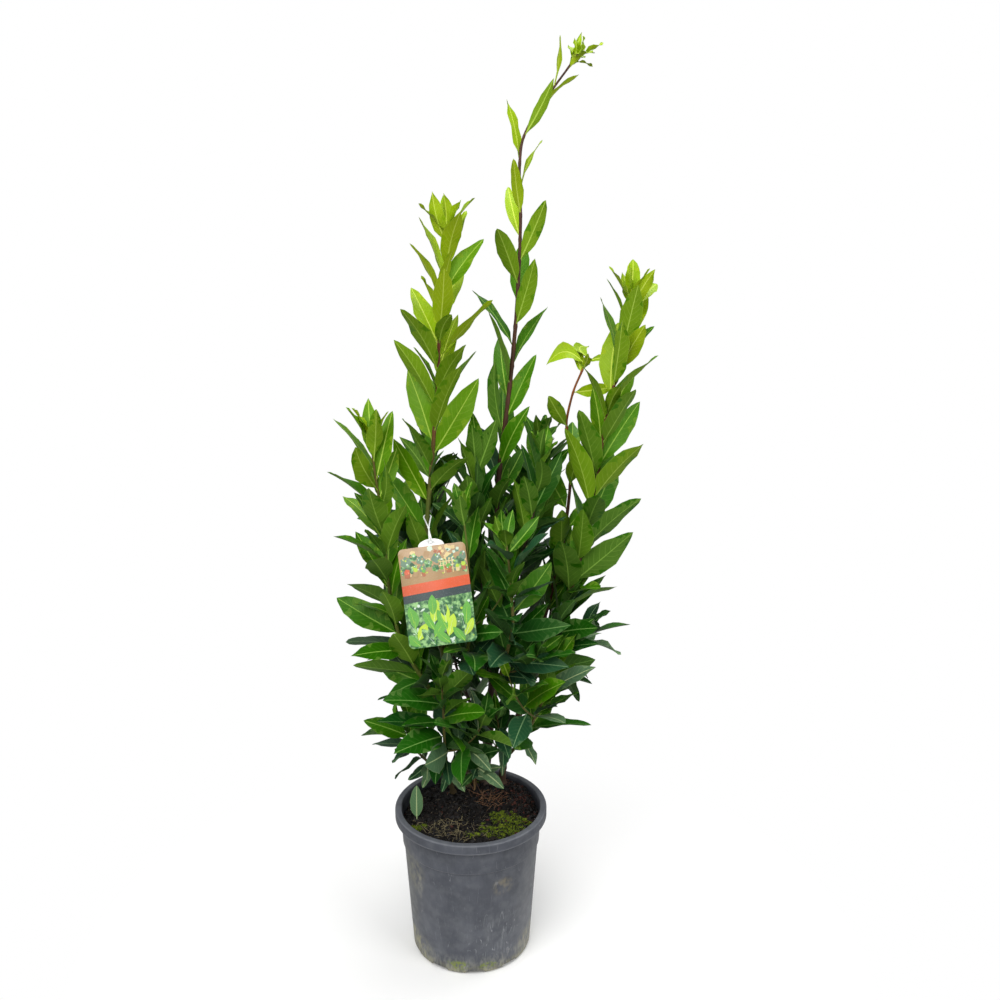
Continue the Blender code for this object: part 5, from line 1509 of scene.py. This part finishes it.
def make_pot():
    """The turned shell with its rolled rim, the step of its top band, and the notches in its foot."""
    skirt_foot = POT_HEIGHT - RIM_DROP
    rim_under = POT_HEIGHT - RIM_THICK
    wall = [(BASE_RADIUS + (BODY_TOP_RADIUS - BASE_RADIUS) * k / 10,
             BASE_ROUNDING + (BAND_FOOT - BASE_ROUNDING) * k / 10) for k in range(1, 11)]
    outside = [(0, 0), *arc(BASE_RADIUS - BASE_ROUNDING, BASE_ROUNDING, BASE_ROUNDING, -90, 0, 6), *wall,
               (BODY_TOP_RADIUS + 0.9 * MM, BAND_FOOT + 0.25 * MM), (BAND_RADIUS, BAND_HEIGHT),
               (NECK_RADIUS, skirt_foot)]
    skirt = RIM_RADIUS - WALL
    rim = [(NECK_RADIUS, rim_under), (skirt, rim_under), (skirt, skirt_foot + 0.4 * MM),
           (skirt + 0.5 * MM, skirt_foot), (RIM_RADIUS - 0.4 * MM, skirt_foot),
           (RIM_RADIUS, skirt_foot + 0.5 * MM),
           *arc(RIM_RADIUS - RIM_ROUND, POT_HEIGHT - RIM_ROUND, RIM_ROUND, 0, 90, 6),
           *arc(RIM_MOUTH + MOUTH_ROUND, POT_HEIGHT - MOUTH_ROUND, MOUTH_ROUND, 90, 180, 4)]
    inside = [(NECK_RADIUS - WALL, MOUTH_FOOT), (BAND_RADIUS - WALL, BAND_HEIGHT),
              (BODY_TOP_RADIUS - WALL, BAND_FOOT)]
    floor = [(BASE_RADIUS - WALL, BASE_ROUNDING + FLOOR), (BASE_RADIUS - BASE_ROUNDING, FLOOR), (0, FLOOR)]
    pot = piece_of("pot_shell", turned(outside + rim + inside + floor, POT_STEPS),
                   ["polypropylene_weathered_grey"], math.radians(35))
    bm = bmesh.new()
    block = Matrix.Translation((BASE_RADIUS, 0, 0)) @ Matrix.Diagonal(
        (2 * NOTCH_DEPTH, NOTCH_WIDTH, 2 * NOTCH_HEIGHT, 1))
    for k in range(NOTCH_COUNT):
        turn = Matrix.Rotation(math.tau * k / NOTCH_COUNT - math.pi / 2 + NOTCH_TURN, 4, "Z")
        cube = bmesh.ops.create_cube(bm, size=1, matrix=turn @ block)
        tops = [e for v in cube["verts"] for e in v.link_edges
                if all(w.co.z > 0 for w in e.verts) and abs(e.calc_length() - 2 * NOTCH_DEPTH) < MM]
        bmesh.ops.bevel(bm, geom=list(set(tops)), offset=NOTCH_ROUND, segments=4, affect="EDGES",
                        profile=0.5, material=-1)
    cut(pot, piece_of("notch_cutter", bm, ["polypropylene_weathered_grey"]))
    show(pot, "black_plastic", "pot")


def cut(obj, cutter):
    """Takes the cutter's shape out of obj and removes the cutter."""
    boolean = obj.modifiers.new("Boolean", "BOOLEAN")
    boolean.operation = "DIFFERENCE"
    boolean.solver = "EXACT"
    boolean.object = cutter
    graph = bpy.context.evaluated_depsgraph_get()
    obj.data = bpy.data.meshes.new_from_object(obj.evaluated_get(graph))
    obj.modifiers.clear()
    bpy.data.objects.remove(cutter)


# Compost


def ground(x, y):
    """Height of the crumbly top of the compost."""
    at = Vector((x, y, 0.0))
    lumps = sum(noise.noise(at / size) * high for size, high in COMPOST_LUMPS)
    return soil_height(x, y) + lumps * MM


def make_compost():
    """The compost's body, lumpy on top, as a turned block inside the pot."""
    edge = soil_reach(SOIL_EDGE)
    profile = [(0, FLOOR + CLEAR), (SOIL_FOOT_RADIUS, FLOOR + CLEAR),
               (soil_reach(BASE_ROUNDING + FLOOR) - SOIL_BELOW_BAND, BASE_ROUNDING + FLOOR),
               (soil_reach(BAND_FOOT) - SOIL_BELOW_BAND, BAND_FOOT), (soil_reach(BAND_HEIGHT), BAND_HEIGHT)]
    profile += [(edge * k / COMPOST_RINGS, SOIL_EDGE) for k in range(COMPOST_RINGS, -1, -1)]
    bm = turned(profile, COMPOST_STEPS)
    for vert in bm.verts:
        if vert.co.z > SOIL_EDGE - MM:
            vert.co.z = ground(vert.co.x, vert.co.y)
    show(piece_of("compost_body", bm, ["peat_damp"], math.radians(80)), "compost", "soil")


CRUMB_KINDS = ("peat_damp", "peat_brown", "bark_shred_red", "grit_pale")
PEAT, BROWN, RED, GRIT = range(len(CRUMB_KINDS))
LUMP = ([(0, 0, -1), (1, 0, 0), (0, 1, 0), (-1, 0, 0), (0, -1, 0), (0, 0, 1)],
        [(0, 2, 1), (0, 3, 2), (0, 4, 3), (0, 1, 4), (5, 1, 2), (5, 2, 3), (5, 3, 4), (5, 4, 1)])


def on_compost(draw, centre=None, reach=None):
    """A random point on the compost, in the whole pot or round a centre."""
    while True:
        if centre:
            x, y = draw.gauss(centre[0], reach[0]), draw.gauss(centre[1], reach[1])
        else:
            away, turn = COMPOST_REACH * math.sqrt(draw.random()), draw.uniform(0, math.tau)
            x, y = away * math.cos(turn), away * math.sin(turn)
        if math.hypot(x, y) < COMPOST_REACH:
            return Vector((x, y, ground(x, y)))


def make_crumbs(draw):
    """Crumbs of peat, shredded bark and grit, heaped over the compost."""
    batch = Batch()
    points, faces = LUMP
    for _ in range(CRUMBS):
        at = on_compost(draw)
        red = BARK_SHARES[0] if at.x > 0.03 and at.y > -0.01 else BARK_SHARES[1]
        roll = draw.random()
        pick = RED if roll < red else BROWN if roll < BROWN_UP_TO else GRIT if roll > GRIT_FROM else PEAT
        size = draw.triangular(*CRUMB_SIZE) * MM
        if pick == GRIT:
            size = draw.uniform(*GRIT_SIZE) * MM
        angle = draw.uniform(0, math.tau)
        turn = Matrix.Rotation(angle, 3, Vector([draw.gauss(0, 1) for _ in "xyz"]).normalized())
        shape = Vector((size, size * draw.uniform(0.45, 0.9), size * draw.uniform(0.3, 0.7)))
        made = []
        for p in points:
            q = Vector([c * s * draw.uniform(0.7, 1.25) for c, s in zip(p, shape)])
            made.append(at + turn @ q + UP * size * 0.25)
        batch.add(made, faces, [pick] * len(faces))
    show(batch.piece("compost_crumbs", CRUMB_KINDS, math.radians(25)), "compost")


def strand(batch, line, radius, pick):
    """A thin closed strand along a line, pointed at both ends."""
    sides = FIBRE_SIDES
    rings, side = [], Vector((1, 0.2, 0)).normalized()
    for i in range(1, len(line) - 1):
        tangent = tangent_at(line, i)
        side = (side - tangent * side.dot(tangent)).normalized()
        rings.append(ring_round(line[i], radius, side, tangent.cross(side), around(sides)))
    points = [line[0], *[p for ring in rings for p in ring], line[-1]]
    faces = [[0, 1 + (k + 1) % sides, 1 + k] for k in range(sides)]
    for i in range(len(rings) - 1):
        low, high = 1 + i * sides, 1 + (i + 1) * sides
        faces += [[low + k, low + (k + 1) % sides, high + (k + 1) % sides, high + k] for k in range(sides)]
    last = 1 + (len(rings) - 1) * sides
    faces += [[last + k, last + (k + 1) % sides, len(points) - 1] for k in range(sides)]
    batch.add(points, faces, [pick] * len(faces))


FIBRE_PLACES = (  # centre, reach, share, material, length in mm, radius in mm, how far it rises
    ((0.066, 0.036), (0.014, 0.030), 0.10, 0, (6, 15), (0.25, 0.5), 0.35),
    ((0.020, 0.018), (0.010, 0.010), 0.06, 1, (14, 30), (0.20, 0.4), 0.8),
    ((-0.040, -0.026), (0.016, 0.011), 0.08, 2, (7, 18), (0.16, 0.32), 0.9),
    ((-0.008, -0.038), (0.016, 0.011), 0.07, 2, (8, 20), (0.16, 0.32), 0.7),
    (None, None, 0.22, 3, (6, 16), (0.25, 0.5), 0.3),
    (None, None, 0.48, 4, (3, 9), (0.10, 0.20), 0.6),
)


def make_fibres(draw):
    """Shreds of bark, old roots and straw that lie in the compost or stand out of it."""
    batch = Batch()
    for centre, reach, share, pick, lengths, radii, rise in FIBRE_PLACES:
        for _ in range(round(FIBRES * share)):
            at = on_compost(draw, centre, reach)
            turn = draw.uniform(0, math.tau)
            heading = Vector((math.cos(turn), math.sin(turn), draw.uniform(0, rise))).normalized()
            step = draw.uniform(*lengths) * MM / FIBRE_STEPS
            line = [at - heading * step * 0.5 + UP * 0.8 * MM]
            for _ in range(FIBRE_STEPS):
                line.append(line[-1] + heading * step)
                heading = (heading + Vector([draw.gauss(0, 0.28) for _ in "xyz"]) - UP * 0.1).normalized()
            for p in line:
                p.z = max(p.z, soil_height(p.x, p.y) + 0.5 * MM)
                away = math.hypot(p.x, p.y)
                if away > FIBRE_REACH:
                    p.x, p.y = p.x * FIBRE_REACH / away, p.y * FIBRE_REACH / away
            strand(batch, line, draw.uniform(*radii) * MM, pick)
    names = ["bark_shred_red", "bark_shred_rust", "straw_dry", "peat_brown", "straw_dull"]
    show(batch.piece("compost_fibres", names, math.radians(60)), "compost")


MOSS_PATCHES = (  # centre, reach, cushions
    ((0.030, -0.036), (0.011, 0.006), 52), ((0.052, -0.022), (0.009, 0.008), 58),
    ((0.008, -0.043), (0.007, 0.004), 14), ((0.040, -0.014), (0.010, 0.006), 26),
    ((-0.063, -0.027), (0.007, 0.004), 9), ((0.004, 0.066), (0.010, 0.009), 8),
)


def make_moss(draw):
    """Small round cushions of moss, each a dome crowded with short soft spikes."""
    batch = Batch()
    for centre, reach, count in MOSS_PATCHES:
        for _ in range(count):
            seat = on_compost(draw, centre, reach)
            radius = draw.uniform(*MOSS_RADIUS) * MM
            sunny = draw.uniform(0.5, 1.0)
            for _ in range(round(MOSS_SPIKES * (radius / MM) ** 2)):
                turn, tilt = draw.uniform(0, math.tau), math.acos(draw.uniform(0.1, 1.0))
                level = math.sin(tilt)
                out = Vector((math.cos(turn) * level, math.sin(turn) * level, math.cos(tilt)))
                at = seat + Vector((out.x, out.y, out.z * 0.5)) * radius * draw.uniform(0.85, 1.05)
                if math.hypot(at.x, at.y) > MOSS_REACH:
                    continue
                lean = (out + Vector([draw.gauss(0, 0.35) for _ in "xyz"])).normalized()
                side = lean.orthogonal().normalized()
                tall = draw.uniform(0.8, 1.9) * MM
                ring, belly = (ring_round(middle, size, side, lean.cross(side), around(3, turn))
                               for middle, size in zip((at - lean * SPIKE_ROOT, at), SPIKE_RADIUS))
                faces = [(0, 2, 1)] + [(k, (k + 1) % 3, 3 + (k + 1) % 3, 3 + k) for k in range(3)]
                faces += [(3 + k, 3 + (k + 1) % 3, 6) for k in range(3)]
                pick = 0 if draw.random() < sunny * out.z + 0.1 else 1
                batch.add([*ring, *belly, at + lean * tall], faces, [pick] * len(faces))
    show(batch.piece("compost_moss", ["moss_bright", "moss_deep"], math.radians(80)), "compost")


# Label


CARD_TOP = -TAB_HEIGHT / 2
CARD_FOOT = CARD_TOP - CARD_HEIGHT
BAND_LEVELS = (-0.044, -0.0555, -0.0645)  # height of each printed edge at the middle
BAND_SLOPE = 0.06
CARD_ZONES = ("ink_sand", "ink_orange", "ink_slate", "ink_deep_green")


def card_outline():
    """The card's outline anticlockwise from the front: round corners and a low tab on top."""
    inset = CARD_WIDTH / 2 - CARD_CORNER
    points = arc(inset, CARD_FOOT + CARD_CORNER, CARD_CORNER, -90, 0, CARD_STEPS)
    points += arc(inset, CARD_TOP - CARD_CORNER, CARD_CORNER, 0, 90, CARD_STEPS)
    tab = arc(0, 0, 1, 0, 90, CARD_STEPS)
    points += [(x * TAB_WIDTH / 2, CARD_TOP + z * TAB_HEIGHT) for x, z in tab]
    return points + [(-x, z) for x, z in reversed(points[:-1])]


def pushed_out(bm, corners, way):
    """A face on the corners with its thickness, and the corners of its far side."""
    face = bm.faces.new([bm.verts.new(corner) for corner in corners])
    pushed = bmesh.ops.extrude_face_region(bm, geom=[face])
    moved = [g for g in pushed["geom"] if isinstance(g, bmesh.types.BMVert)]
    bmesh.ops.translate(bm, verts=moved, vec=(0, way, 0))
    return moved


def make_card():
    """The hung card with its printed zones, its white tab and the hole that the strap goes through."""
    bm = bmesh.new()
    pushed_out(bm, [(x, -CARD_THICKNESS / 2, z) for x, z in card_outline()], CARD_THICKNESS)
    bmesh.ops.recalc_face_normals(bm, faces=bm.faces)
    rims = [e for e in bm.edges if len(e.link_faces) == 2 and any(len(f.verts) > 8 for f in e.link_faces)]
    bmesh.ops.bevel(bm, geom=rims, offset=CARD_EDGE, segments=2, affect="EDGES", profile=0.5, material=-1)
    for level, slope in [(band, BAND_SLOPE) for band in BAND_LEVELS] + [(CARD_TOP, 0.0)]:
        bmesh.ops.bisect_plane(bm, geom=bm.verts[:] + bm.edges[:] + bm.faces[:], dist=1e-6,
                               plane_co=(0, 0, level), plane_no=(-slope, 0, 1))
    for face in bm.faces:
        at = face.calc_center_median()
        below = sum(at.z < level + BAND_SLOPE * at.x for level in BAND_LEVELS)
        face.material_index = 0 if at.z > CARD_TOP or face.normal.y > 0.3 else 1 + below
    card = piece_of("label_card_sheet", bm, ["card_sheet_white", *CARD_ZONES], math.radians(30))
    bm = bmesh.new()
    bmesh.ops.create_cone(bm, cap_ends=True, segments=24, radius1=TAB_HOLE, radius2=TAB_HOLE,
                          depth=4 * CARD_THICKNESS, matrix=Matrix.Rotation(math.pi / 2, 4, "X"))
    cut(card, piece_of("hole_cutter", bm, ["card_sheet_white"]))
    card.data.transform(card_place())
    show(card, "label_card", "label_card")


def printed(bm, outline, place, depth, material):
    """One printed shape, as a thin layer on the card's front that ends short of the card's edges."""
    edge = CARD_WIDTH / 2 - PRINT_SIDE
    corners = [place @ Vector((x, 0, z)) for x, z in outline]
    inside = [(max(-edge, min(edge, c.x)), c.y, max(CARD_FOOT + PRINT_FOOT, c.z)) for c in corners]
    for v in pushed_out(bm, inside, -depth):
        for f in v.link_faces:
            f.material_index = material


def leaf_motif(length, width):
    """A pointed oval from (0, 0) upwards."""
    shares = [k / MOTIF_STEPS for k in range(MOTIF_STEPS + 1)]
    right = [(width / 2 * math.sin(math.pi * share) ** 0.8, length * share) for share in shares]
    return right + [(-x, z) for x, z in reversed(right[1:-1])]


PRINT_INKS = ("ink_cream", "ink_terracotta", "ink_sage", "ink_deep_green", "ink_leaf_green", "ink_lime",
              "ink_orange", "ink_sand", "ink_mist")
BLOT_POINTS = 22
BLOT_LOBES = 0.13  # how far a blot's edge swings in and out, as a share of its radius
MOTIF_STEPS = 8
CREAM, TERRACOTTA, SAGE, DEEP_GREEN, LEAF_GREEN, LIME, ORANGE, SAND, MIST = range(len(PRINT_INKS))
TERRACE_SHRUBS = (  # place of a round shrub on the card in mm, its radius, and its ink
    (-31, -20, 6.5, SAGE), (-22, -15, 4.5, DEEP_GREEN), (-35, -29, 5.0, DEEP_GREEN),
    (-25, -27, 6.0, DEEP_GREEN), (-14, -19, 5.0, SAGE), (-6, -24, 4.6, DEEP_GREEN), (4, -19, 5.4, SAGE),
    (11, -25, 5.0, DEEP_GREEN), (20, -22, 5.0, SAGE), (30, -27, 7.0, DEEP_GREEN), (35, -19, 4.6, SAGE),
    (24, -31, 4.6, SAGE), (36, -34, 4.4, DEEP_GREEN), (-13, -29, 4.0, SAGE), (2, -30, 4.0, DEEP_GREEN),
)
TRELLIS_AT = 14.8  # across the card, in mm
TRELLIS_SLATS = 5
TERRACE_POTS = (  # foot of a pot on the card in mm, its width and height, and its ink
    (-31, -38, 7.5, 6.0, TERRACOTTA), (-21, -37.5, 6.0, 7.0, SAND), (-12, -38, 5.0, 5.0, TERRACOTTA),
    (9, -37.5, 5.0, 5.5, SAND), (17, -37, 7.0, 6.5, TERRACOTTA), (27, -36.5, 5.0, 5.0, CREAM),
    (34, -36, 6.0, 6.0, TERRACOTTA),
)
SPRIGS = ((-26, 27, -0.16), (-9, 33, 0.05), (8, 30, -0.08), (25, 24, 0.18))  # place and height in mm, lean
SPRIG_FOOT = -0.116
SPRIG_LEAVES = 5
PANEL_LEAVES = 34
SPRIG_INKS = (LEAF_GREEN, LIME, DEEP_GREEN, LEAF_GREEN, LEAF_GREEN, LIME)


def make_print(draw):
    """The card's printed motifs: a terrace of shrubs and pots above, and sprigs of leaves below."""
    bm = bmesh.new()
    lifts = itertools.count(1)

    def put(outline, x, z, turn, ink):
        place = Matrix.Translation((x, PRINT_LIFT - CARD_THICKNESS / 2, z)) @ Matrix.Rotation(turn, 4, "Y")
        printed(bm, outline, place, PRINT_LAYER * next(lifts), ink)

    def bar(x, z, foot, head, tall, turn, ink):
        """A straight shape from (x, z) upwards, with its half widths at its foot and its head in mm."""
        corners = ((-foot, 0), (foot, 0), (head, tall), (-head, tall))
        put([(px * MM, pz * MM) for px, pz in corners], x * MM, z, turn, ink)

    def blot(x, z, radius, ink):
        """A round shape with a lobed edge."""
        lobes, phase = draw.randint(4, 7), draw.uniform(0, math.tau)
        turns = around(BLOT_POINTS)
        sizes = [radius * MM * (1 + BLOT_LOBES * math.sin(lobes * a + phase)) for a in turns]
        put([(r * math.cos(a), r * math.sin(a)) for r, a in zip(sizes, turns)], x * MM, z * MM, 0.0, ink)

    def spots(count, xs, zs, radii, inks):
        for _ in range(count):
            blot(draw.uniform(*xs), draw.uniform(*zs), draw.uniform(*radii), draw.choice(inks))

    # A pale wall in patches, shrubs in two greens with lights on them, then a trellis and pots.
    spots(16, (-36, 36), (-38, -9), (2.6, 5.4), (CREAM, SAND, TERRACOTTA, SAND))
    spots(9, (-30, 32), (-10, -7), (1.6, 3.2), (CREAM, CREAM, MIST))
    spots(14, (2, 34), (-17, -9), (1.0, 2.6), (CREAM, TERRACOTTA, MIST, SAGE))
    for x, z, radius, ink in TERRACE_SHRUBS:
        blot(x, z, radius, ink)
        for _ in range(5):
            at = x + draw.gauss(0, 0.45) * radius, z + draw.gauss(0.1, 0.45) * radius
            blot(*at, draw.uniform(0.5, 1.2), draw.choice((LEAF_GREEN, LIME, SAGE, MIST, SAND)))
    for k in range(TRELLIS_SLATS):
        bar(8 + 3.4 * k, -37 * MM, 0.5, 0.5, 17, 0.0, CREAM)
    for z in (-33, -28.5, -24):
        bar(TRELLIS_AT, z * MM, 9, 9, 0.9, 0.0, CREAM)
    for x, z, wide, tall, ink in TERRACE_POTS:
        bar(x, z * MM, 0.36 * wide, 0.5 * wide, tall, 0.0, ink)
        blot(x, z + tall + 1.2, wide * 0.42, draw.choice((LEAF_GREEN, LIME, ORANGE)))
    spots(26, (-35, 35), (-37, -14), (0.4, 0.9), (CREAM, ORANGE, MIST, LIME))
    for _ in range(PANEL_LEAVES):
        motif = leaf_motif(draw.uniform(4, 10) * MM, draw.uniform(2, 4.5) * MM)
        put(motif, draw.uniform(-36, 36) * MM, draw.uniform(-118, -72) * MM, draw.uniform(0, math.tau),
            draw.choice((DEEP_GREEN, SAGE, DEEP_GREEN, MIST)))
    spots(30, (-36, 36), (-120, -70), (0.5, 1.8), (LIME, MIST, MIST))
    for first, (x, height, lean) in enumerate(SPRIGS):
        bar(x, SPRIG_FOOT, 0.5, 0.3, height, lean, LEAF_GREEN)
        for k in range(SPRIG_LEAVES):
            share = k / (SPRIG_LEAVES - 1)
            at = x * MM + math.sin(lean) * share * height * MM, SPRIG_FOOT + share * height * MM
            turn = (1 if k % 2 else -1) * draw.uniform(0.45, 0.95) * (1 - share) + lean
            long = draw.uniform(19, 27) * MM
            ink = SPRIG_INKS[(k + 2 * first) % len(SPRIG_INKS)]
            put(leaf_motif(long, long * draw.uniform(0.38, 0.50)), *at, turn, ink)
            rib = [(-0.22 * MM, 0), (0.22 * MM, 0), (0, long * 0.92)]
            put(rib, *at, turn, LIME if ink == LEAF_GREEN else MIST)
    bmesh.ops.recalc_face_normals(bm, faces=bm.faces)
    motifs = piece_of("label_card_print", bm, PRINT_INKS, math.radians(30))
    motifs.data.transform(card_place())
    show(motifs, "label_card")


def make_strap(limb):
    """The white strap: one cord through the hole, crossed over itself, with its loop round the shoot."""
    ring, neck = strap_line(limb)
    place = card_place()
    crossing = neck[0].lerp(place @ Vector((0, -1.6 * MM, 9 * MM)), 0.55)
    left_foot, right_foot = (
        [place @ Vector((x, y, z)) for y, z in ((0.3 * MM, 0), (-1.5 * MM, 1.4 * MM), (-1.5 * MM, 5 * MM))]
        for x in (-1.0 * MM, 1.0 * MM))
    knots = [*left_foot, crossing + Vector((0.5 * MM, -0.6 * MM, 0)), *ring[2:11],
             crossing + Vector((-0.5 * MM, 0.8 * MM, 0)), *reversed(right_foot)]
    bm = bmesh.new()
    line = smooth_path(knots, CORD_STEP)
    sweep(bm, line, [CORD_RADIUS] * len(line), 8)
    knob = Matrix.Rotation(math.pi / 2, 4, "X")
    for centre, radius, deep in STRAP_BUTTONS:
        size = Matrix.Diagonal((radius, radius, deep, 1))
        shape = place @ Matrix.Translation((0, centre, 0)) @ knob @ size
        bmesh.ops.create_uvsphere(bm, u_segments=20, v_segments=10, radius=1, matrix=shape)
    knot = Matrix.Translation(crossing) @ Matrix.Diagonal((*KNOT_SIZE, 1))
    bmesh.ops.create_uvsphere(bm, u_segments=16, v_segments=8, radius=1, matrix=knot)
    bmesh.ops.recalc_face_normals(bm, faces=bm.faces)
    show(piece_of("label_strap_cord", bm, ["polythene_moulded_white"], math.radians(50)), "white_plastic",
         "label_strap")


def make_dropped_leaf():
    """The leaf that stands in the compost: broad, greyish green, with a pale midrib down to its stalk."""
    batch = Batch()
    look = Look(0.10, 0.05, 0.0, 0.3 * MM, 1.5, 0.0, 0.8, "dropped", 0.6)
    add_leaf_to(batch, fallen_leaf(), look)
    show(batch.piece("dropped_leaf", leaf_palette()), "bay_leaf", "fallen_leaf")


# The studio


def surround(tree):
    """The surround's strength: white to the camera, and dimmer as a light."""
    seen = add_node(tree, "ShaderNodeLightPath").outputs["Is Camera Ray"]
    inputs = {"Value": seen, "To Min": SURROUND_LIGHT, "To Max": 1.0}
    return add_node(tree, "ShaderNodeMapRange", None, inputs).outputs[0]


def make_studio():
    """A wide pale floor, a soft white surround, three softboxes and a camera."""
    scene = bpy.context.scene
    scene.view_settings.view_transform = "Standard"
    tree, shader = new_material("studio_floor_white", "#F4F4F3", 0.9)
    # Away from the pot the floor glows as the surround does, so no horizon shows.
    where = add_node(tree, "ShaderNodeTexCoord").outputs["Object"]
    away = add_node(tree, "ShaderNodeVectorMath", {"operation": "LENGTH"}, {0: where}).outputs["Value"]
    inputs = {"Value": away, "From Min": FLOOR_GLOW[0], "From Max": FLOOR_GLOW[1]}
    share = add_node(tree, "ShaderNodeMapRange", None, inputs).outputs[0]
    inputs = {"Color": (1, 1, 1, 1), "Strength": surround(tree)}
    glow = add_node(tree, "ShaderNodeEmission", None, inputs).outputs[0]
    mixed = add_node(tree, "ShaderNodeMixShader", None, {0: share, 1: shader.outputs[0], 2: glow}).outputs[0]
    tree.links.new(mixed, tree.nodes["Material Output"].inputs["Surface"])
    bm = bmesh.new()
    bmesh.ops.create_circle(bm, cap_ends=True, segments=64, radius=FLOOR_RADIUS)
    piece_of("studio_floor", bm, ["studio_floor_white"])
    world = bpy.data.worlds.new("studio_surround")
    world.use_nodes = True
    background = world.node_tree.nodes["Background"]
    background.inputs["Color"].default_value = (1, 1, 1, 1)
    world.node_tree.links.new(surround(world.node_tree), background.inputs["Strength"])
    scene.world = world
    for name, at, power, size in SOFTBOXES:
        light = bpy.data.lights.new("softbox_" + name, "AREA")
        light.energy = power
        light.size = size
        lamp = bpy.data.objects.new("softbox_" + name, light)
        lamp.location = at
        lamp.rotation_euler = (LIT_POINT - Vector(at)).to_track_quat("-Z", "Y").to_euler()
        scene.collection.objects.link(lamp)
    camera = bpy.data.cameras.new("camera")
    camera.lens = CAMERA_LENS
    camera.sensor_width = CAMERA_SENSOR
    camera.clip_start = CAMERA_CLIP
    eye = bpy.data.objects.new("camera", camera)
    eye.location = CAMERA_AT
    eye.rotation_euler = (math.pi / 2 - CAMERA_TILT, 0, 0)
    scene.collection.objects.link(eye)
    scene.camera = eye


def dress_part():
    """Every material, the plant, the pot and the compost, the label, and the studio."""
    leaf_materials()
    bark_materials()
    pot_material()
    litter_materials()
    card_materials()
    limbs = make_limbs()
    make_plant(limbs)
    make_pot()
    make_compost()
    draw = random.Random(LOOKS_SEED + 1)
    make_crumbs(draw)
    make_fibres(draw)
    make_moss(draw)
    make_dropped_leaf()
    make_card()
    make_print(draw)
    make_strap(limbs["left"])
    make_studio()


dress_part()
bpy.context.view_layer.update()
